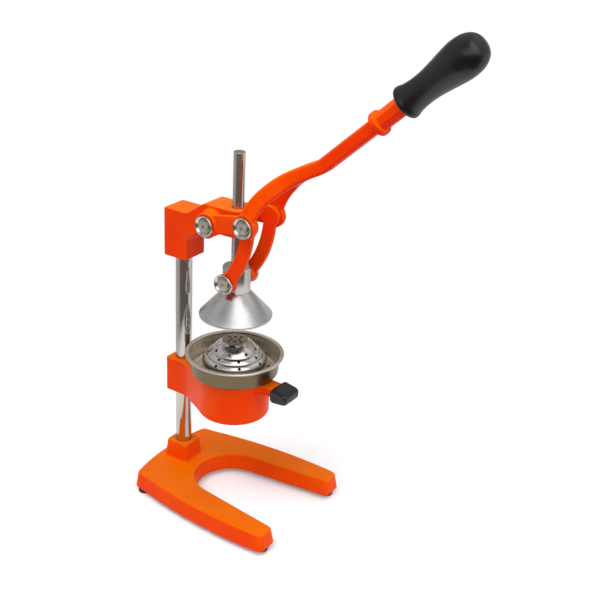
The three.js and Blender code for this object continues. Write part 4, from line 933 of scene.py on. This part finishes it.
def lathe_group():
    """Fine rings about an axis through the origin, as left by turning and polishing."""
    group, given, result = new_group(
        "lathe_lines", {"Line Scale": 2500.0, "Break Up": 0.15}, ["Lines"])
    parts = add_node(group, "SeparateXYZ", {"Vector": given["Vector"]}).outputs
    squares = [math_node(group, "MULTIPLY", parts[axis], parts[axis]) for axis in "XY"]
    radius = math_node(group, "SQRT", math_node(group, "ADD", *squares))
    turn = math_node(group, "ARCTAN2", parts["Y"], parts["X"])
    broken_turn = math_node(group, "MULTIPLY", turn, given["Break Up"])
    small_turn = math_node(group, "MULTIPLY", broken_turn, 0.01)
    polar = add_node(group, "CombineXYZ", {"X": radius, "Y": small_turn, "Z": parts["Z"]})
    lines = noise(group, polar.outputs[0], given["Line Scale"], 3, 0.6)
    group.links.new(lines, result["Lines"])
    return group


def edge_group():
    """1 on sharp outer edges and 0 on flat and hollow places."""
    group, given, result = new_group(
        "outer_edges", {"Start": 0.51, "End": 0.56, "Break Up": 0.02}, ["Edges"])
    point = group.nodes.new("ShaderNodeNewGeometry").outputs["Pointiness"]
    speckle = noise(group, given["Vector"], 120.0)
    uneven = math_node(group, "MULTIPLY", speckle, given["Break Up"])
    inputs = {"Value": math_node(group, "SUBTRACT", point, uneven),
              "From Min": given["Start"], "From Max": given["End"]}
    group.links.new(add_node(group, "MapRange", inputs).outputs[0], result["Edges"])
    return group


GRAIN, HANDLING, LATHE, EDGES = surface_grain_group(), handling_group(), lathe_group(), edge_group()


def placed_group(tree, group, **inputs):
    made = tree.nodes.new("ShaderNodeGroup")
    made.node_tree = group
    fill(tree, made.inputs, {name.replace("_", " "): value for name, value in inputs.items()})
    return made.outputs


def new_material(name, **values):
    """A material with its shader's plain values; returns it with its tree, shader and place."""
    material = bpy.data.materials.new(name)
    material.use_nodes = True
    tree = material.node_tree
    shader = tree.nodes["Principled BSDF"].inputs
    fill(tree, shader, {label.replace("_", " "): value for label, value in values.items()})
    return material, tree, shader, tree.nodes.new("ShaderNodeTexCoord").outputs


def bump(tree, shader, height, strength, distance):
    inputs = {"Height": height, "Strength": strength, "Distance": distance * MM}
    tree.links.new(add_node(tree, "Bump", inputs).outputs[0], shader["Normal"])


def handled(tree, shader, where, scale, clean, dull):
    """Smudged roughness; returns the mask of the smudges."""
    marks = placed_group(tree, HANDLING, Vector=where["Object"], Smudge_Scale=scale,
                         Clean=clean, Dull=dull)
    tree.links.new(marks["Roughness"], shader["Roughness"])
    return marks["Mask"]


def grained(tree, shader, where, scale, wave_scale, wave_share, strength, distance):
    grain = placed_group(tree, GRAIN, Vector=where["Object"], Grain_Scale=scale,
                         Wave_Scale=wave_scale, Wave_Share=wave_share)
    bump(tree, shader, grain["Height"], strength, distance)


def scaled(colour, factor):
    return tuple(channel * factor for channel in colour)


# Painted light and shade on the enamel: its colour from faces that look down, darker and redder, by
# share of the way up to faces that look up, more orange
ENAMEL_LIGHT_AND_SHADE = [
    (0, (0.7, 0.012, 0.003)), (0.35, (0.78, 0.03, 0.002)), (0.52, (0.83, 0.05, 0.001)),
    (0.8, (0.83, 0.105, 0.0005)), (1, (0.78, 0.14, 0.0005))]
# A painted highlight: the lighter orange that sharp outer edges turn to, and how far.
EDGE_HIGHLIGHT_ENAMEL, EDGE_HIGHLIGHT_SHARE = (0.95, 0.2, 0.01, 1), 0.35


def enamel_material():
    """Stoved orange enamel with painted light and shade: redder underneath, a lighter painted
    highlight on its edges, slightly wavy.
    """
    material, tree, shader, where = new_material(
        "orange_enamel", Coat_Weight=0.04, Coat_Roughness=0.1, Specular_IOR_Level=0.1,
        Specular_Tint=(1, 0.4, 0.1, 1))
    # Painted light and shade: the colour follows how far each face looks up.
    up = add_node(tree, "SeparateXYZ", {"Vector": where["Normal"]}).outputs["Z"]
    lit_and_shaded = ramp(tree, math_node(tree, "MULTIPLY_ADD", up, 0.5, 0.5), ENAMEL_LIGHT_AND_SHADE)
    cloud = noise(tree, where["Object"], 14.0, 3)
    tint = add_node(tree, "HueSaturation", {
        "Hue": stretch(tree, cloud, 0.497, 0.503), "Color": lit_and_shaded,
        "Value": stretch(tree, cloud, 0.97, 1.03)}).outputs[0]
    edges = placed_group(tree, EDGES, Vector=where["Object"])["Edges"]
    # Painted highlight: sharp outer edges are turned towards a lighter orange.
    wear_and_edge_highlight = mixed_colour(tree, math_node(tree, "MULTIPLY", edges, EDGE_HIGHLIGHT_SHARE), tint, EDGE_HIGHLIGHT_ENAMEL)
    tree.links.new(wear_and_edge_highlight, shader["Base Color"])
    handled(tree, shader, where, 18.0, 0.26, 0.42)
    grained(tree, shader, where, 420.0, 55.0, 0.75, 0.35, 0.35)
    return material


def metal_material(name, colour, clean, dull, grain=900.0, depth=0.02, darker=0.75, smudge=35.0):
    """A plain metal with smudges that are duller and darker."""
    material, tree, shader, where = new_material(name, Metallic=1.0)
    mask = handled(tree, shader, where, smudge, clean, dull)
    smudged = ramp(tree, mask, [(0.2, colour), (1, scaled(colour, darker))])
    tree.links.new(smudged, shader["Base Color"])
    grained(tree, shader, where, grain, 60.0, 0.3, 0.3, depth)
    return material


def turned_material(name, colour, clean, dull, depth, line_scale=2200.0, anisotropy=0.0):
    """A metal turned and polished about the press axis."""
    material, tree, shader, where = new_material(name, Metallic=1.0, Anisotropic=anisotropy)
    vector = add_node(tree, "Mapping", {
        "Vector": where["Object"], "Location": -at(PRESS_X, 0, 0)}).outputs[0]
    lines = placed_group(tree, LATHE, Vector=vector, Line_Scale=line_scale)["Lines"]
    marks = placed_group(tree, HANDLING, Vector=where["Object"], Smudge_Scale=26.0,
                         Clean=clean, Dull=dull)
    spread = stretch(tree, lines, -0.04, 0.04)
    tree.links.new(math_node(tree, "ADD", marks["Roughness"], spread), shader["Roughness"])
    smudges = math_node(tree, "MULTIPLY", marks["Mask"], 0.4)
    shade = math_node(tree, "MULTIPLY_ADD", lines, 0.6, smudges)
    tree.links.new(ramp(tree, shade, [(0.25, colour), (0.8, scaled(colour, 0.78))]),
                   shader["Base Color"])
    if anisotropy:
        radial = vector_node(tree, "MULTIPLY", vector, (1, 1, 0))[0]
        ring = vector_node(tree, "CROSS_PRODUCT", (0, 0, 1), radial)[0]
        tree.links.new(vector_node(tree, "NORMALIZE", ring)[0], shader["Tangent"])
    bump(tree, shader, lines, 0.4, depth)
    return material


def moulded_material(name, colour, clean, dull, grain, depth):
    """Black plastic or rubber with a moulded grain and lighter dusty smudges."""
    material, tree, shader, where = new_material(name, Specular_IOR_Level=0.5)
    mask = handled(tree, shader, where, 40.0, clean, dull)
    wear_and_edge_highlight = tuple(channel * 1.5 + 0.001 for channel in colour)
    tree.links.new(ramp(tree, mask, [(0.1, colour), (1, wear_and_edge_highlight)]), shader["Base Color"])
    grained(tree, shader, where, grain, 90.0, 0.25, 0.5, depth)
    return material


MATERIALS = {
    "enamel": enamel_material(),
    "chrome": metal_material("bright_chrome", (0.62, 0.6, 0.565), 0.05, 0.12, smudge=22.0,
                             darker=0.86),
    "rod": turned_material("ground_rod", (0.6, 0.58, 0.55), 0.12, 0.22, 0.004, 1600.0),
    "cone": turned_material("polished_cone", (0.62, 0.62, 0.615), 0.18, 0.28, 0.004, 1800.0, 0.85),
    "dome": turned_material("polished_dome", (0.7, 0.68, 0.65), 0.12, 0.22, 0.003, 1500.0),
    # Painted shade: near black for the inside of the dome, the walls of its holes and the hollows
    # under its disc.
    "dome_inside": metal_material("dome_inside_painted_shade", (0.06, 0.055, 0.05), 0.5, 0.65),
    "disc": metal_material("brushed_disc", (0.5, 0.43, 0.33), 0.38, 0.5, darker=0.85),
    "pan": turned_material("satin_pan", (0.74, 0.68, 0.59), 0.24, 0.36, 0.006, 1400.0, 0.5),
    # Painted shade and reflection: the outside of the pan, the same sheet as its inside, is
    # coloured dark brown.
    "pan_outside": turned_material("pan_outside_painted_shade", (0.2, 0.152, 0.088), 0.26, 0.38, 0.006, 1400.0,
                                   0.6),
    "neck": turned_material("turned_neck", (0.62, 0.6, 0.57), 0.16, 0.28, 0.004, 1400.0),
    "cup": metal_material("chromed_cup", (0.62, 0.61, 0.58), 0.1, 0.2, smudge=60.0, darker=0.88),
    "bolt": metal_material("dull_chrome", (0.66, 0.63, 0.55), 0.4, 0.52, smudge=60.0, darker=0.88),
    "steel": metal_material("dull_steel", (0.3, 0.29, 0.28), 0.34, 0.5, 600.0, 0.03),
    "bronze": metal_material("bearing_bronze", (0.42, 0.26, 0.1), 0.3, 0.45, 600.0, 0.03),
    "rubber": moulded_material("black_rubber", (0.012, 0.012, 0.012), 0.6, 0.8, 500.0, 0.06),
    "plastic": moulded_material("black_grip", (0.0025, 0.0025, 0.003), 0.26, 0.34, 650.0, 0.015),
}


# Dressing: each new piece rides on a body, takes a slot and stands for a node. Castings and pieces
# with soft edges are smoothed up to a wider angle than turned ones
CAST_ANGLE, TURNED_ANGLE, PAN_ANGLE, DOME_ANGLE = 50, 35, 40, 28


def dress(piece, body, material, node, angle=TURNED_ANGLE):
    piece.data.materials.clear()
    piece.data.materials.append(MATERIALS[material])
    select_only(piece)
    bpy.ops.object.shade_smooth_by_angle(angle=radians(angle))
    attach(piece, body)
    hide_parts(node)


def second_finish(piece, material, chosen):
    """Gives the faces that a rule chooses, by their middle and normal, another material."""
    piece.data.materials.append(MATERIALS[material])
    for face in piece.data.polygons:
        if chosen(face.center - at(PRESS_X, 0, 0), face.normal):
            face.material_index = len(piece.data.materials) - 1


def pan_outside(place, normal):
    """Faces below the rim that look away from the press axis, which carry the pan's painted shade.
    """
    faces_out = Vector((place.x, place.y)).dot(Vector((normal.x, normal.y))) > 0
    return faces_out and place.z < (PAN_FLOOR_Z + 24) * MM


def dome_inside(place, normal):
    """Faces of the dome's inner skin and of its holes, told from a point under the dome, which
    carry its painted shade.
    """
    tall = DOME_HEIGHT * MM
    rise = place.z - DOME_FOOT_Z * MM + tall / 2
    return Vector((place.x, place.y, rise)).dot(normal) < tall / 3


def dome_disc(place, normal):
    return normal.z > 0.95 and place.z > (DOME_TOP_Z - 1) * MM


def dress_stand():
    dress(make_base(), "stand", "enamel", "base_casting", CAST_ANGLE)
    dress(make_holder(), "stand", "enamel", "cup_holder", CAST_ANGLE)
    dress(make_head(), "stand", "enamel", "head_bracket", CAST_ANGLE)
    dress(make_column(), "stand", "chrome", "column_tube")
    dress(make_holder_grip(), "stand", "plastic", "holder_grip", CAST_ANGLE)
    pan, dome = make_pan(), make_dome()
    dress(pan, "stand", "pan", "juice_pan", PAN_ANGLE)
    # The outside of the pan gets its dark painted shade.
    second_finish(pan, "pan_outside", pan_outside)
    dress(dome, "stand", "dome", "strainer_dome", DOME_ANGLE)
    # The inside of the dome gets its near-black painted shade.
    second_finish(dome, "dome_inside", dome_inside)
    second_finish(dome, "disc", dome_disc)
    for i, place in enumerate(FOOT_PLACES):
        foot = make_foot(place)
        foot.name = foot.data.name = f"foot_{i + 1}_skin"
        dress(foot, "stand", "rubber", f"foot_{i + 1}")
    screw = make_set_screw()
    for node in ("holder_set_screw", "head_set_screw_1", "head_set_screw_2"):
        rear = Vector((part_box(node)[0].x + SET_SCREW_LENGTH * MM, 0, middle(node).z))
        place = Matrix.Translation(rear) @ Matrix.Rotation(-pi / 2, 4, "Y")
        dress(copied(screw, node + "_skin", place), "stand", "steel", node)
    bpy.data.objects.remove(screw)


def dress_moving():
    dress(make_rod(), "press_slide", "rod", "slide_rod")
    dress(make_neck(), "press_slide", "neck", "press_neck")
    dress(make_cone(), "press_slide", "cone", "press_cone")
    dress(make_lever(), "hand_lever", "enamel", "lever", CAST_ANGLE)
    dress(make_lever_grip(), "hand_lever", "plastic", "lever_grip")
    for name, side in SIDES.items():
        dress(make_link(name, side), "links", "enamel", f"link_{name}", CAST_ANGLE)


def dress_pivots():
    """Cup washers and bolts of the three pivots on both sides."""
    for pivot_name, (pivot, seat, bolt_radius, reach, body) in PIVOTS.items():
        washer, bolt = make_cup_washer(bolt_radius), make_pivot_bolt(bolt_radius, reach)
        for name, side in SIDES.items():
            turn = Matrix.Rotation(-side * pi / 2, 4, "X")
            place = moved(pivot.x, side * seat, pivot.y) @ turn
            for kind, piece, finish in (("washer", washer, "cup"), ("bolt", bolt, "bolt")):
                node = f"{pivot_name}_{kind}_{name}"
                dress(copied(piece, node + "_skin", place), body, finish, node)
        bpy.data.objects.remove(washer)
        bpy.data.objects.remove(bolt)


def dress_hidden():
    """Small parts inside the press keep their solids and get their metals."""
    for name, node in frame["nodes"].items():
        if "screw" in name or "bush" in name or name.startswith(("column_", "cone_")):
            for slot in node.material_slots:
                slot.material = MATERIALS["bronze" if "bush" in name else "steel"]


dress_hidden()
dress_stand()
dress_moving()
dress_pivots()


# Studio: floor, light and camera
FLOOR_SIZE, FLOOR_FADE, FLOOR_GLOW = 12, [(0.42, 1.0), (0.62, 0.0)], 0.16
WHITE, ROOM_GREY = (1, 1, 1, 1), (0.62, 0.62, 0.63, 1)


def make_floor():
    """A pale floor that keeps the shadow and fades into the white round it."""
    bpy.ops.mesh.primitive_plane_add(size=FLOOR_SIZE)
    floor = bpy.context.object
    floor.name = "studio_floor"
    material, tree, shader, where = new_material(
        "pale_floor", Base_Color=(0.86, 0.86, 0.86, 1), Roughness=0.9, Specular_IOR_Level=0.1,
        Emission_Color=WHITE)
    away = vector_node(tree, "LENGTH", where["Object"])["Value"]
    tree.links.new(ramp(tree, away, FLOOR_FADE), shader["Alpha"])
    rays = tree.nodes.new("ShaderNodeLightPath").outputs
    glow = math_node(tree, "MULTIPLY", rays["Is Camera Ray"], FLOOR_GLOW)
    tree.links.new(glow, shader["Emission Strength"])
    floor.data.materials.append(material)


# What gloss sees round the press, by share of a turn from +X: the walls below and above the level
# of the eye, and the ceiling. The other two lists say at which height one gives way to the next
DARK_WALL, DIM_WALL, TAUPE_WALL = (0.16, 0.13, 0.105), (0.42, 0.38, 0.34), (0.36, 0.31, 0.25)
LOW_WALLS = [
    (0, DARK_WALL), (0.02, DARK_WALL), (0.05, 1.0), (0.12, 0.8), (0.2, 0.7), (0.45, 0.62),
    (0.62, 0.5), (0.68, DIM_WALL), (0.73, DARK_WALL), (0.97, DARK_WALL)]
HIGH_WALLS = [
    (0, 0.7), (0.12, 0.5), (0.25, TAUPE_WALL), (0.45, TAUPE_WALL), (0.55, 0.5), (0.7, 0.7),
    (0.78, 1.5), (0.92, 1.5)]
CEILING = [
    (0, 1.4), (0.06, 0.5), (0.12, 0.9), (0.3, 0.6), (0.5, 0.6), (0.62, 0.6), (0.68, 0.3),
    (0.73, 0.5), (0.79, 0.7), (0.83, 2.0), (0.97, 2.0)]
LOW_TO_HIGH, HIGH_TO_CEILING = [(0.05, 0.0), (0.2, 1.0)], [(0.42, 0.0), (0.62, 1.0)]


def make_world():
    """White behind the press, a soft grey room for the light, and bays for the gloss."""
    world = bpy.data.worlds.new("studio")
    bpy.context.scene.world = world
    world.use_nodes = True
    tree = world.node_tree
    way = tree.nodes.new("ShaderNodeTexCoord").outputs["Generated"]
    parts = add_node(tree, "SeparateXYZ", {"Vector": way}).outputs
    turn = math_node(tree, "ARCTAN2", parts["Y"], parts["X"])
    share = math_node(tree, "FRACT", math_node(tree, "MULTIPLY_ADD", turn, 1 / tau, 1.0))
    walls = mixed_colour(tree, ramp(tree, parts["Z"], LOW_TO_HIGH),
                         ramp(tree, share, LOW_WALLS), ramp(tree, share, HIGH_WALLS))
    room = mixed_colour(tree, ramp(tree, parts["Z"], HIGH_TO_CEILING), walls,
                        ramp(tree, share, CEILING))
    rays = tree.nodes.new("ShaderNodeLightPath").outputs
    gloss = math_node(tree, "MAXIMUM", rays["Is Glossy Ray"], rays["Is Transmission Ray"])
    seen = mixed_colour(tree, gloss, ROOM_GREY, room)
    final = mixed_colour(tree, rays["Is Camera Ray"], seen, WHITE)
    tree.links.new(final, tree.nodes["Background"].inputs["Color"])


# Place, target, size and power of each lamp
LAMPS = {
    "key_softbox": ((-0.4, -0.9, 1.9), (0, 0, 0.25), (1.4, 1.0), 19.5),
    "front_softbox": ((1.9, -0.4, 1.0), (0, 0, 0.3), (0.9, 1.6), 11),
    "top_softbox": ((0.2, 0.3, 2.2), (0, 0, 0.2), (1.6, 1.6), 11),
}


def add_lamp(name, place, target, size, power):
    bpy.ops.object.light_add(type="AREA", location=place)
    lamp = bpy.context.object
    lamp.name = name
    lamp.data.shape = "RECTANGLE"
    lamp.data.size, lamp.data.size_y = size
    lamp.data.energy = power
    lamp.rotation_euler = (Vector(target) - Vector(place)).to_track_quat("-Z", "Y").to_euler()
    lamp.visible_glossy = False


# The photograph's angle, worked out from the round pan and the upright column
LENS, SENSOR = 65.51, 36
CAMERA_PLACE = at(835.46, -1031.85, 879.02)
CAMERA_TURN = Matrix((
    (0.83257, -0.2646, 0.48664), (0.55197, 0.32263, -0.76892), (0.04645, 0.90879, 0.41467)))


def make_camera():
    data = bpy.data.cameras.new("camera")
    data.lens, data.sensor_width = LENS, SENSOR
    camera = bpy.data.objects.new("camera", data)
    bpy.context.scene.collection.objects.link(camera)
    camera.matrix_world = Matrix.Translation(CAMERA_PLACE) @ CAMERA_TURN.to_4x4()
    bpy.context.scene.camera = camera


make_floor()
make_world()
for lamp_name, settings in LAMPS.items():
    add_lamp(lamp_name, *settings)
make_camera()
bpy.context.scene.view_settings.view_transform = "Standard"
